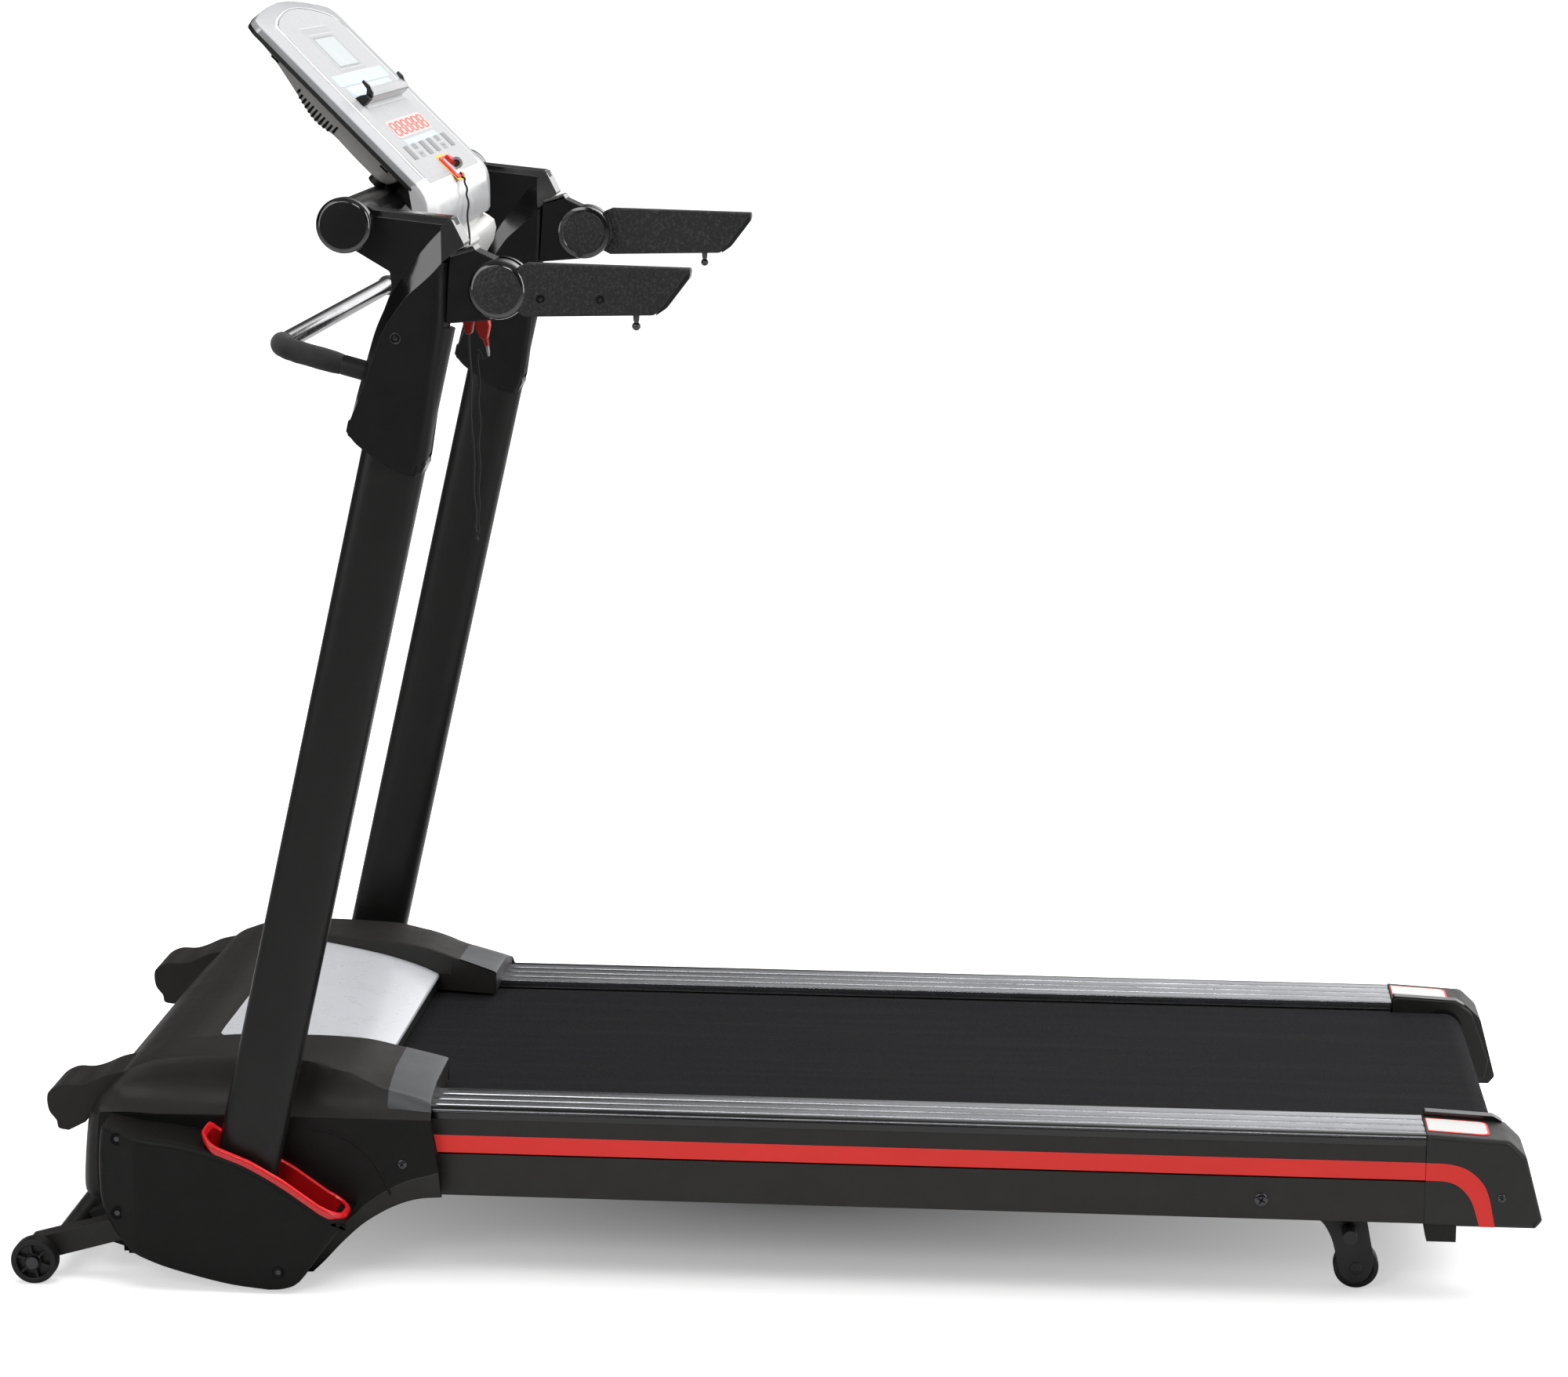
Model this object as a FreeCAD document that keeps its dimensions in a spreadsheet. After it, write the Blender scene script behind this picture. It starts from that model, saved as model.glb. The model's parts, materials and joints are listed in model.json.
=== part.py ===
import FreeCAD, Part
import math
import os

import Sketcher
from FreeCAD import Placement, Rotation, Vector

# Folding motorised treadmill.
# Frame: +X runs from the motor end to the exit end of the belt, +Z is up, and the runner faces -X, so
# the runner's left is -Y. The origin is on the floor at the middle of the overall length and width.
# Lengths along X are drawn from the pivot axis of the uprights, and node() moves each finished
# sub-part by middle_x, the distance from that axis to the origin.

# Driving dimensions in millimetres and degrees. "half" and "inner"/"outer" are distances from the
# middle plane.
SIZES = {
    "middle_x": 595.5, "pivot_height": 82, "pivot_bolt_radius": 8,
    "frame_outer": 307, "frame_width": 30, "frame_bottom": 91, "frame_height": 48,
    "frame_front": -140, "frame_rear": 1372, "frame_wall": 2.5,
    "rail_top": 192, "rail_inner": 227, "rail_front": 188, "rail_rear": 1312, "channel_drop": 51,
    "cap_rear": 1445, "board_half": 300, "board_thickness": 18,
    "belt_half": 212, "belt_top": 182, "belt_thickness": 2.4,
    "roller_radius": 21, "front_roller_x": 62, "rear_roller_x": 1374, "axle_radius": 6,
    "motor_x": -72, "motor_z": 152, "motor_radius": 40, "pulley_y": 236,
    "hood_half": 322, "hood_wall": 3, "hood_top": 246, "arch_inner": 205,
    "fairing_outer": 330, "cover_outer": 395, "cover_wall": 3,
    "slot_inner": 335, "slot_outer": 385,
    "wheel_x": -226, "wheel_radius": 26, "wheel_inner": 368, "wheel_width": 20,
    "arm_inner": 338, "arm_width": 25, "stand_tube_x": -202, "stand_tube_z": 36, "stand_tube_radius": 13.5,
    "incline_x": 1229, "incline_z": 108, "incline_inner": 244, "incline_wheel_x": 1243,
    "incline_wheel_z": 25, "incline_wheel_radius": 25,
    "upright_lean": 12.6, "upright_depth": 71, "upright_width": 36, "upright_wall": 2,
    "upright_middle": 358, "upright_length": 1062, "upright_tail": 34,
    "shroud_inner": 336, "shroud_outer": 380,
    "crossbar_x": 148, "crossbar_z": 1181, "crossbar_radius": 29, "crossbar_half": 400,
    "hub_x": 305, "hub_z": 1113, "hub_radius": 32, "handle_inner": 354, "handle_outer": 379,
    "lift_x": 146, "lift_z": 1025, "lift_reach": 86, "lift_half": 344, "lift_tube_radius": 10,
    "console_x": 118, "console_z": 1292, "console_tilt": 45, "console_half": 224,
    "console_length": 270, "face_thickness": 13.9, "rim_drop": 10, "panel_half": 170,
    "key_pitch": 50, "key_length": 20, "key_width": 16, "ledge_half": 118, "apron_half": 190,
}

SLACK = 0.05

doc = FreeCAD.newDocument("Treadmill")
sheet = doc.addObject("Spreadsheet::Sheet", "Sizes")
for row, (alias, amount) in enumerate(SIZES.items(), 1):
    sheet.set("A%d" % row, alias)
    sheet.set("B%d" % row, str(amount))
    sheet.setAlias("B%d" % row, alias)
doc.recompute()

nodes = []
# Position along X of each placed object, with its expression, so that node() can shift it.
places_x = {}


# ---------------------------------------------------------------- sizes that carry their expression
class Size:
    """A number together with the sheet expression that gives it."""

    def __init__(self, text, value):
        self.text = text
        self.value = value

    def __add__(self, other):
        return combine(self, "+", other)

    def __radd__(self, other):
        return combine(other, "+", self)

    def __sub__(self, other):
        return combine(self, "-", other)

    def __rsub__(self, other):
        return combine(other, "-", self)

    def __mul__(self, other):
        return combine(self, "*", other)

    def __rmul__(self, other):
        return combine(other, "*", self)

    def __neg__(self):
        return combine(0, "-", self)


def number(amount):
    return amount.value if isinstance(amount, Size) else float(amount)


def combine(left, sign, right):
    first, second = number(left), number(right)
    value = {"+": first + second, "-": first - second, "*": first * second}[sign]
    words = [part.text if isinstance(part, Size) else "(%.6f)" % part for part in (left, right)]
    return Size("(" + words[0] + sign + words[1] + ")", value)


def size(alias):
    return Size("Sizes." + alias, float(SIZES[alias]))


def bind(thing, prop, amount):
    """Tie a property to the sheet when its amount comes from there."""
    if isinstance(amount, Size):
        thing.setExpression(prop, amount.text)


def place(thing, x=0, y=0, z=0, turn=None):
    thing.Placement = Placement(Vector(number(x), number(y), number(z)), turn or Rotation())
    places_x[thing.Name] = x
    bind(thing, "Placement.Base.x", x)
    bind(thing, "Placement.Base.y", y)
    bind(thing, "Placement.Base.z", z)


ALONG = {"x": Rotation(Vector(0, 1, 0), 90), "y": Rotation(Vector(1, 0, 0), -90), "z": Rotation()}


# ---------------------------------------------------------------- building blocks
def box(x, y, z, dx, dy, dz):
    """A box from its low corner and its three lengths."""
    block = doc.addObject("Part::Box", "Block")
    block.Length, block.Width, block.Height = number(dx), number(dy), number(dz)
    bind(block, "Length", dx)
    bind(block, "Width", dy)
    bind(block, "Height", dz)
    place(block, x, y, z)
    return block


def rod(x, y, z, radius, length, axis="y"):
    """A cylinder that starts at a point and runs along +axis."""
    bar = doc.addObject("Part::Cylinder", "Rod")
    bar.Radius, bar.Height = number(radius), number(length)
    bind(bar, "Radius", radius)
    bind(bar, "Height", length)
    place(bar, x, y, z, ALONG[axis])
    return bar


def fuse(*parts):
    joined = doc.addObject("Part::MultiFuse", "Fusion")
    joined.Shapes = list(parts)
    joined.Refine = True
    return joined


def cut(base, *tools):
    carved = doc.addObject("Part::Cut", "Carved")
    carved.Base = base
    carved.Tool = tools[0] if len(tools) == 1 else group_of(*tools)
    carved.Refine = True
    return carved


def group_of(*parts):
    """Several separate solids kept as one object."""
    bundle = doc.addObject("Part::Compound", "Group")
    bundle.Links = list(parts)
    return bundle


def node(label, thing):
    """Give a finished sub-part the name that its file gets, and its place in the final frame."""
    thing.Label = label
    place_x = places_x.get(thing.Name, 0) - size("middle_x")
    here = thing.Placement
    thing.Placement = Placement(Vector(place_x.value, here.Base.y, here.Base.z), here.Rotation)
    bind(thing, "Placement.Base.x", place_x)
    nodes.append(thing)
    return thing


def origin_plane(body, role):
    return next(feature for feature in body.Origin.OriginFeatures if feature.Role == role)


def sketch_on(body, role, offset=0):
    sketch = body.newObject("Sketcher::SketchObject", "Outline")
    sketch.AttachmentSupport = [(origin_plane(body, role), "")]
    sketch.MapMode = "FlatFace"
    sketch.AttachmentOffset = Placement(Vector(0, 0, number(offset)), Rotation())
    bind(sketch, "AttachmentOffset.Base.z", offset)
    return sketch


def hold(sketch, kind, *where, amount):
    """Add a dimension to a sketch and tie it to the sheet."""
    index = sketch.addConstraint(Sketcher.Constraint(kind, *where, number(amount)))
    bind(sketch, "Constraints[%d]" % index, amount)


def draw_loop(sketch, points):
    """A closed loop of straight lines whose corners are dimensioned from the sketch origin."""
    first = sketch.GeometryCount
    count = len(points)
    flat = [Vector(number(x), number(y), 0) for x, y in points]
    lines = [Part.LineSegment(flat[i], flat[(i + 1) % count]) for i in range(count)]
    sketch.addGeometry(lines, False)
    for i in range(count):
        sketch.addConstraint(Sketcher.Constraint("Coincident", first + i, 2, first + (i + 1) % count, 1))
    for i, (x, y) in enumerate(points):
        hold(sketch, "DistanceX", first + i, 1, amount=x)
        hold(sketch, "DistanceY", first + i, 1, amount=y)


def draw_circle(sketch, x, y, radius):
    circle = Part.Circle(Vector(number(x), number(y), 0), Vector(0, 0, 1), number(radius))
    index = sketch.addGeometry(circle, False)
    hold(sketch, "DistanceX", index, 3, amount=x)
    hold(sketch, "DistanceY", index, 3, amount=y)
    hold(sketch, "Radius", index, amount=radius)


def prism(points, start, depth, role="XZ_Plane", holes=()):
    """A padded outline. XZ outlines run from y = start towards +Y; the others along their normal."""
    body = doc.addObject("PartDesign::Body", "Body")
    offset = -(start + depth) if role == "XZ_Plane" else start
    sketch = sketch_on(body, role, offset)
    draw_loop(sketch, points)
    for hole in holes:
        draw_circle(sketch, *hole)
    pad = body.newObject("PartDesign::Pad", "Pad")
    pad.Profile = sketch
    pad.Length = number(depth)
    bind(pad, "Length", depth)
    return body


def side_prism(points, inner, outer, side, holes=()):
    """An XZ outline between two distances from the middle plane, on one side of the machine."""
    start = inner if side > 0 else -outer
    return prism(points, start, outer - inner, "XZ_Plane", holes)


def side_rod(x, inner, outer, z, radius, side):
    """A cylinder across the machine between two distances from the middle plane."""
    return rod(x, inner if side > 0 else -outer, z, radius, outer - inner)


def side_box(x, inner, z, dx, dy, dz, side):
    return box(x, inner if side > 0 else -(inner + dy), z, dx, dy, dz)


def turned(profile, x, y, z):
    """A solid of revolution about a line parallel to Y through a point; profile is (radius, along)."""
    body = doc.addObject("PartDesign::Body", "Body")
    sketch = sketch_on(body, "XY_Plane")
    draw_loop(sketch, profile)
    spin = body.newObject("PartDesign::Revolution", "Turn")
    spin.Profile = sketch
    spin.ReferenceAxis = (sketch, ["V_Axis"])
    spin.Angle = 360
    place(body, x, y, z)
    return body


def inset(points, distance):
    """Corners of an open chain moved inwards, to the left of the direction of travel."""
    flat = [Vector(number(x), number(y), 0) for x, y in points]
    moved = []
    for i, here in enumerate(flat):
        before = (here - flat[i - 1]).normalize() if i else (flat[1] - flat[0]).normalize()
        after = (flat[i + 1] - here).normalize() if i + 1 < len(flat) else before
        normal = Vector(-before.y - after.y, before.x + after.x, 0)
        normal.normalize()
        reach = distance / max(0.4, normal.dot(Vector(-before.y, before.x, 0)))
        corner = here + normal * reach
        moved.append((corner.x, corner.y))
    return moved


def strip(chain, thickness):
    """The closed outline of a wall that follows an open chain of corners."""
    return list(chain) + inset(chain, thickness)[::-1]


SIDES = {"left": -1, "right": 1}
pivot_z = size("pivot_height")
rail_top = size("rail_top")
frame_outer = size("frame_outer")


# ---------------------------------------------------------------- running deck and frame
def main_frame():
    """Welded frame: two long tubes, cross tubes under the belt, a motor tray and two pivot bosses."""
    wall = size("frame_wall")
    width, height = size("frame_width"), size("frame_height")
    front, length = size("frame_front"), size("frame_rear") - size("frame_front")
    inner = frame_outer - width
    low = size("frame_bottom")
    parts = []
    hollows = []
    for side in (-1, 1):
        parts.append(side_box(front, inner, low, length, width, height, side))
        hollows.append(side_box(front - 1, inner + wall, low + wall, length + 2,
                                width - wall * 2, height - wall * 2, side))
        parts.append(side_rod(0, frame_outer - 1, fairing_inner() + 10, pivot_z, 26, side))
        hollows.append(side_rod(0, inner - 1, fairing_inner() + 11, pivot_z,
                                size("pivot_bolt_radius") + 0.02, side))
        hollows.append(side_rod(size("incline_x"), inner - 1, frame_outer - wall, size("incline_z"),
                                5.02, side))
    for x in (-130, -34, 150, 620, 1060, 1282):
        parts.append(box(x, -inner - 1, low + 2, 26, (inner + 1) * 2, 24))
    parts.append(box(-135, -150, low + 2, 130, 300, 4))
    node("main_frame", cut(fuse(*parts), *hollows))


def fairing_inner():
    return size("fairing_outer") - 7


def foot_rail(name, side):
    """Ribbed aluminium foot rail: a plate with four raised ribs and a lip along the belt."""
    inner, top = size("rail_inner"), rail_top
    under = top - 6
    ribs = []
    pitch = 18.5
    for k in range(4):
        y = inner + 4 + k * pitch
        ribs += [(y, top), (y + 13, top), (y + 14.5, top - 2), (y + 17, top - 2)]
    outline = [(inner, top - 11), (inner, top - 1)] + ribs
    outline += [(inner + 78, top), (inner + 79, top - 1), (inner + 79, under)]
    outline += [(inner + 3, under), (inner + 3, top - 11)]
    points = [(y * side, z) for y, z in outline]
    body = prism(points, size("rail_front"), size("rail_rear") - size("rail_front"), "YZ_Plane")
    node("foot_rail_" + name, body)


def side_channels():
    """Dark channel on each side of the deck, under the outer edge of the foot rail."""
    top = rail_top - 6.5
    pair = []
    for side in (-1, 1):
        face = frame_outer
        outline = [(face, rail_top - size("channel_drop")), (face, top - 5), (face - 1.5, top - 1),
                   (face - 5, top), (face - 26, top), (face - 26, top - 2.5), (face - 4, top - 2.5),
                   (face - 3, top - 5), (face - 3, rail_top - size("channel_drop"))]
        points = [(y * side, z) for y, z in outline]
        pair.append(prism(points, size("rail_front"), size("rail_rear") - size("rail_front"), "YZ_Plane"))
    node("side_channels", group_of(*pair))


def end_cap(name, side):
    """Moulded end cap over the rear of the rail and frame, with a raised ridge beside the belt."""
    joint, rear, top = size("rail_rear") + 0.5, size("cap_rear"), rail_top
    outline = [(joint, 88), (joint, top + 1), (joint + 92, top - 4), (joint + 108, top - 20),
               (rear - 2, 98), (rear - 8, 88)]
    shell = side_prism(outline, 232, size("frame_outer") + 1, side)
    ridge_outline = [(joint, 150), (joint, top + 6), (joint + 80, top + 2), (joint + 96, top - 8),
                     (rear - 10, 120), (rear - 14, 96), (joint + 70, 96), (joint + 60, 150)]
    ridge = side_prism(ridge_outline, 224, 233, side)
    hollow = side_box(joint - 1, 236, 91.5, 106, frame_outer - 233 - 1, 92, side)
    axle_slot = side_rod(size("rear_roller_x"), 222, 240, roller_z(), 8, side)
    frame_relief = side_box(joint - 1, 276, 80, 68, 40, 59.4, side)
    node("end_cap_" + name, cut(fuse(shell, ridge), hollow, axle_slot, frame_relief))


def roller_z():
    return size("belt_top") - size("belt_thickness") - size("roller_radius") - SLACK


def trim_decals():
    """Red accent strips along the channels and over the end caps, and the blank rating labels."""
    low, high = rail_top - size("channel_drop"), rail_top - 31
    joint = size("rail_rear") + 0.5
    pieces = []
    for side in (-1, 1):
        face = frame_outer + 0.02
        pieces.append(side_box(size("rail_front"), face, low, size("rail_rear") - size("rail_front"),
                               0.8, high - low, side))
        bend = [(joint, high), (joint + 26, high), (joint + 50, high - 8), (joint + 68, high - 26),
                (joint + 80, high - 72), (joint + 61, high - 72), (joint + 52, high - 38),
                (joint + 40, high - 24), (joint + 24, high - 20), (joint, high - 20)]
        pieces.append(side_prism(bend, frame_outer + 1.02, frame_outer + 1.82, side))
        label = prism([(joint + 2, rail_top + 1), (joint + 72, rail_top - 2.8),
                       (joint + 72, rail_top - 2), (joint + 2, rail_top + 1.8)],
                      244 if side > 0 else -294, 50)
        pieces.append(label)
    node("trim_decals", group_of(*pieces))


def running_deck():
    """Wood-core deck board that the belt slides over."""
    top = size("belt_top") - size("belt_thickness") - 0.4
    front = size("front_roller_x") + 38
    length = size("rail_rear") - 1 - front
    half = size("board_half")
    board = box(front, -half, top - size("board_thickness"), length, half * 2, size("board_thickness"))
    node("running_deck", board)


def deck_cushions():
    """Rubber blocks between the frame tubes and the deck board, as a list."""
    low = size("frame_bottom") + size("frame_height") + 0.05
    top = size("belt_top") - size("belt_thickness") - 0.45 - size("board_thickness")
    blocks = []
    for x in (190, 470, 750, 1030, 1260):
        for side in (-1, 1):
            blocks.append(rod(x, 288 * side, low, 9, top - low, "z"))
    return blocks


def belt_loop(radius, half):
    """A long loop around the two rollers, as a solid block with round ends."""
    front, rear = size("front_roller_x"), size("rear_roller_x")
    slab = box(front, -half, roller_z() - radius, rear - front, half * 2, radius * 2)
    ends = [rod(x, -half, roller_z(), radius, half * 2) for x in (front, rear)]
    return fuse(slab, *ends)


def walking_belt():
    """Endless belt: the loop around both rollers with the inside taken out."""
    inside = size("roller_radius") + SLACK
    outside = inside + size("belt_thickness")
    half = size("belt_half")
    node("walking_belt", cut(belt_loop(outside, half), belt_loop(inside, half + 1)))


def rollers():
    """Front drive roller with its pulley, rear roller, and the fixed axles that they turn on."""
    half = size("belt_half") + 6
    radius = size("roller_radius")
    axle = size("axle_radius")
    bore = axle + SLACK
    drum = rod(size("front_roller_x"), -half, roller_z(), radius, half * 2)
    pulley = rod(size("front_roller_x"), size("pulley_y") - 10, roller_z(), 34, 20)
    neck = rod(size("front_roller_x"), half - 1, roller_z(), 14, size("pulley_y") - half - 8)
    hole = rod(size("front_roller_x"), -half - 1, roller_z(), bore, half * 2 + 60)
    node("front_roller", cut(fuse(drum, neck, pulley), hole))
    rear = rod(size("rear_roller_x"), -half, roller_z(), radius, half * 2)
    rear_hole = rod(size("rear_roller_x"), -half - 1, roller_z(), bore, half * 2 + 2)
    node("rear_roller", cut(rear, rear_hole))
    axles = [rod(size("front_roller_x"), -262, roller_z(), axle, 524),
             rod(size("rear_roller_x"), -235, roller_z(), axle, 470)]
    node("roller_axles", group_of(*axles))


def motor():
    """Motor can on its tray, the shaft with its pulley and flywheel, and the drive belt."""
    x, z = size("motor_x"), size("motor_z")
    can = rod(x, -70, z, size("motor_radius"), 190)
    feet = box(x - 30, -60, 97.5, 60, 170, 24)
    bore = rod(x, -80, z, 10, 220)
    hollow = rod(x, -60, z, size("motor_radius") - 6, 170)
    node("motor_housing", cut(fuse(can, feet), bore, hollow))
    shaft = rod(x, -110, z, 8, size("pulley_y") + 120)
    armature = rod(x, -50, z, 28, 150)
    small_pulley = rod(x, size("pulley_y") - 10, z, 14, 20)
    flywheel = rod(x, -108, z, 46, 28)
    node("motor_shaft", fuse(shaft, armature, small_pulley, flywheel))
    node("drive_belt", cut(pulley_band(1.6, 16), pulley_band(0.05, 18)))


def pulley_band(gap, width):
    """The outline of a belt around the motor pulley and the roller pulley, as one solid."""
    x1, z1, r1 = size("motor_x"), size("motor_z"), 14 + gap
    x2, z2, r2 = size("front_roller_x"), roller_z(), 34 + gap
    run = Vector(number(x2) - number(x1), number(z2) - number(z1), 0)
    spread = (r2 - r1) / run.Length
    along = Vector(run).normalize()
    normal = Vector(-along.y, along.x, 0)
    lift = (1 - spread * spread) ** 0.5
    corners = []
    for x, z, radius, sign in ((x1, z1, r1, 1), (x2, z2, r2, 1), (x2, z2, r2, -1), (x1, z1, r1, -1)):
        offset = (normal * (lift * sign) - along * spread) * radius
        corners.append((x + offset.x, z + offset.y))
    y = size("pulley_y") - width / 2
    ends = [rod(x1, y, z1, r1, width), rod(x2, y, z2, r2, width)]
    return fuse(prism(corners, y, width), *ends)


def electronics():
    """Motor control board on its tray, mains inlet and rocker switch at the front of the hood."""
    tray = box(-132, -192, 117.5, 100, 60, 4)
    board = box(-128, -187, 124.5, 90, 48, 1.6)
    posts = [rod(px, py, 121, 3, 4, "z") for px in (-122, -46) for py in (-180, -146)]
    sink = box(-90, -176, 126, 40, 28, 26)
    node("control_board", fuse(tray, board, sink, *posts))
    frame = box(-172, 180, 104, 22, 60, 34)
    switch_hole = box(-173, 212, 108, 24, 22, 26)
    socket = box(-173, 186, 110, 12, 20, 20)
    node("power_inlet", cut(frame, switch_hole, socket))
    rocker = prism([(-176, 110), (-180, 116), (-174.5, 121), (-180, 126), (-176, 132), (-166, 128),
                    (-166, 114)], 214, 18)
    node("power_switch", rocker)


# ---------------------------------------------------------------- covers of the motor end
def hood_profile():
    """Top line of the hood from the nose to the tips of its rear arches."""
    top = size("hood_top")
    return [(-167, 73), (-185, 94), (-178, 177), (-137, top - 21), (-90, top - 8), (-5, top),
            (65, top - 3), (125, top - 10), (158, top - 25), (204, top - 46), (211, top - 56)]


def motor_hood():
    """One moulding: top skin, outer walls, and the inner walls of the arches beside the belt."""
    wall = size("hood_wall")
    half = size("hood_half")
    line = hood_profile()
    skin = prism(strip(line[::-1], 3), -half, half * 2)
    filled = [(-160, 142)] + line[2:] + [(205, 142)]
    walls = [side_prism(filled, half - wall, half, side) for side in (-1, 1)]
    rear = [(60, 190), (65, 240), (125, 233), (158, 218), (204, 197), (206, 190)]
    walls += [side_prism(rear, size("arch_inner"), size("arch_inner") + wall, side) for side in (-1, 1)]
    inner = size("arch_inner")
    window = box(-46, -inner, 180, 300, inner * 2, 100)
    switch_hole = box(-200, 178, 102, 40, 64, 38)
    rail_relief = [side_box(size("rail_front") - 1, 226, 120, 60, 82, 73, side) for side in (-1, 1)]
    frame_relief = [side_box(-150, 318, 60, 400, 6, 82, side) for side in (-1, 1)]
    node("motor_hood", cut(fuse(skin, *walls), window, switch_hole, *rail_relief, *frame_relief))


def hood_panel():
    """Silver centre panel that slopes from the hood down to the belt."""
    top = size("hood_top")
    inner = size("arch_inner") - 1
    outline = [(-45, top - 4), (-40, top - 1), (30, top - 8), (135, top - 37), (137, top - 42),
               (133, top - 44), (30, top - 11), (-40, top - 4)]
    node("hood_panel", prism(outline, -inner, inner * 2))


def nose_bumpers():
    """Two feet on the nose that the folded machine stands on."""
    outline = [(-229, 189), (-213, 206), (-190, 210), (-160, 222), (-139, 223), (-176, 178), (-183, 120),
               (-200, 146), (-216, 152)]
    clear = [(x - 0.6, z) for x, z in outline]
    feet = [side_prism(clear, 222, 292, side) for side in (-1, 1)]
    hood_solid = prism(hood_profile() + [(211, 60)], -330, 660)
    node("nose_bumpers", cut(group_of(*feet), hood_solid))


def side_fairings():
    """Lower side skirts with a concave arc from the rear tip down to the floor."""
    outline = [(-178, 183), (-185, 94), (-167, 73), (-110, 62), (-62, 52), (-40, 20), (57, 4), (76, 4),
               (100, 34), (130, 60), (165, 80), (200, 91), (224, 95), (224, 125), (213, 183)]
    outer = size("fairing_outer")
    pieces = []
    for side in (-1, 1):
        plate = side_prism(outline, outer - 6, outer, side, holes=[(0, pivot_z, 30)])
        stand = side_box(-88, outer - 10, 56, 36, 20, 37, side)
        pieces.append(cut(plate, stand))
    node("side_fairings", group_of(*pieces))


def slot_line():
    """Upper edge of the pivot cover where the upright passes through, rear to front."""
    return [(123, 87), (98, 97), (60, 123), (22, 145)]


def cover_front():
    return [(-29, 165.4), (-66, 172), (-107, 178), (-150, 186), (-152, 101), (-140, 76)]


def cover_rear():
    return [(-39, 15), (57, 5), (70, 12), (129, 90)]


def pivot_cover(name, side):
    """Bulging cover over the upright pivot: an outer wall with a rim, open along the slot."""
    outer, wall = size("cover_outer"), size("cover_wall")
    inner = size("fairing_outer") + 0.5
    face = cover_front() + [(-114, 40)] + cover_rear() + slot_line()
    plate = side_prism(face, outer - wall, outer, side)
    front_rim = side_prism(strip(cover_front(), 3), inner, outer - wall, side)
    rear_rim = side_prism(strip(cover_rear(), 3), inner, outer - wall, side)
    node("pivot_cover_" + name, fuse(plate, front_rim, rear_rim))


def slot_bezels():
    """Red lining of the slots that the uprights swing in."""
    inner, outer = size("slot_inner"), size("slot_outer")
    top = [(-27, 171), (22, 151), (60, 129), (98, 103), (125, 94)]
    bottom = [(119.5, 85), (98, 88), (60, 114), (22, 136), (-26, 156)]
    front_post = [(-26.5, 150), (-26.5, 190), (-23, 190), (-23, 150)]
    pieces = []
    for side in (-1, 1):
        ring = side_prism(top + bottom, inner - 4, outer + 6.5, side)
        opening = side_prism([(-23, 100), (-23, 200), (118, 200), (118, 60)], inner, outer, side)
        post = side_prism(front_post, inner - 4, outer + 6.5, side)
        pieces.append(fuse(cut(ring, opening), post))
    node("slot_bezels", group_of(*pieces))


# ---------------------------------------------------------------- floor stand, wheels and feet
def front_stand():
    """Base stand: two arms that carry the transport wheels, joined by two cross tubes."""
    inner, width = size("arm_inner"), size("arm_width")
    x, z, radius = size("stand_tube_x"), size("stand_tube_z"), size("stand_tube_radius")
    arm = [(-229, 18), (-62, 66), (-62, 92), (-236, 44)]
    parts = [rod(x, -inner - 1, z, radius, inner * 2 + 2)]
    parts.append(box(-86, -inner - 1, 60, 26, inner * 2 + 2, 30.9))
    holes = []
    for side in (-1, 1):
        parts.append(side_prism(arm, inner, inner + width, side))
        parts.append(side_box(-150, 250, 3.5, 60, 30, 20, side))
        parts.append(side_prism([(-215, 26), (-150, 6), (-90, 6), (-64, 62), (-84, 84), (-190, 46)],
                                258, 272, side))
        holes.append(side_rod(size("wheel_x"), inner - 1, inner + width + 1, size("wheel_radius"),
                              4.02, side))
    node("front_stand", cut(fuse(*parts), *holes))


def rubber_mounts():
    """Rubber pieces: floor pads under the stand, rear landing blocks and the deck cushions."""
    feet = deck_cushions()
    for side in (-1, 1):
        feet.append(side_box(-145, 252, 0, 50, 26, 3.5, side))
        block = [(1316, 70), (1348, 70), (1348, 90.9), (1312, 90.9)]
        feet.append(side_prism(block, 279, 305, side))
    node("rubber_mounts", group_of(*feet))


def wheel_profile(radius, width, bore):
    """Half section of a small wheel: rounded tread, thin web and a hub."""
    half = width / 2
    return [(bore, -half), (bore + 5, -half), (bore + 5, -3), (radius - 7, -3), (radius - 7, -half),
            (radius - 2, -half), (radius, 2 - half), (radius, half - 2), (radius - 2, half),
            (radius - 7, half), (radius - 7, 3), (bore + 5, 3), (bore + 5, half), (bore, half)]


def front_wheel(name, side):
    across = (size("wheel_inner") + size("wheel_width") * 0.5) * side
    body = turned(wheel_profile(26, 20, 4 + SLACK), size("wheel_x"), across, size("wheel_radius"))
    node("front_wheel_" + name, body)


def pivot_bolts():
    """Bolts that stay with the frame and stand: upright pivots, wheel bolts and incline pivots."""
    bolts = []
    for side in (-1, 1):
        shank = side_rod(0, 296, 384, pivot_z, size("pivot_bolt_radius"), side)
        head = side_rod(0, 378.5, 386, pivot_z, 13, side)
        wheel_shank = side_rod(size("wheel_x"), size("arm_inner") + 2, 391, size("wheel_radius"), 4, side)
        wheel_head = side_rod(size("wheel_x"), 388.5, 392, size("wheel_radius"), 7, side)
        incline_bolt = side_rod(size("incline_x"), 238, 303, size("incline_z"), 5, side)
        bolts += [fuse(shank, head), fuse(wheel_shank, wheel_head), incline_bolt]
    node("pivot_bolts", group_of(*bolts))


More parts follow.
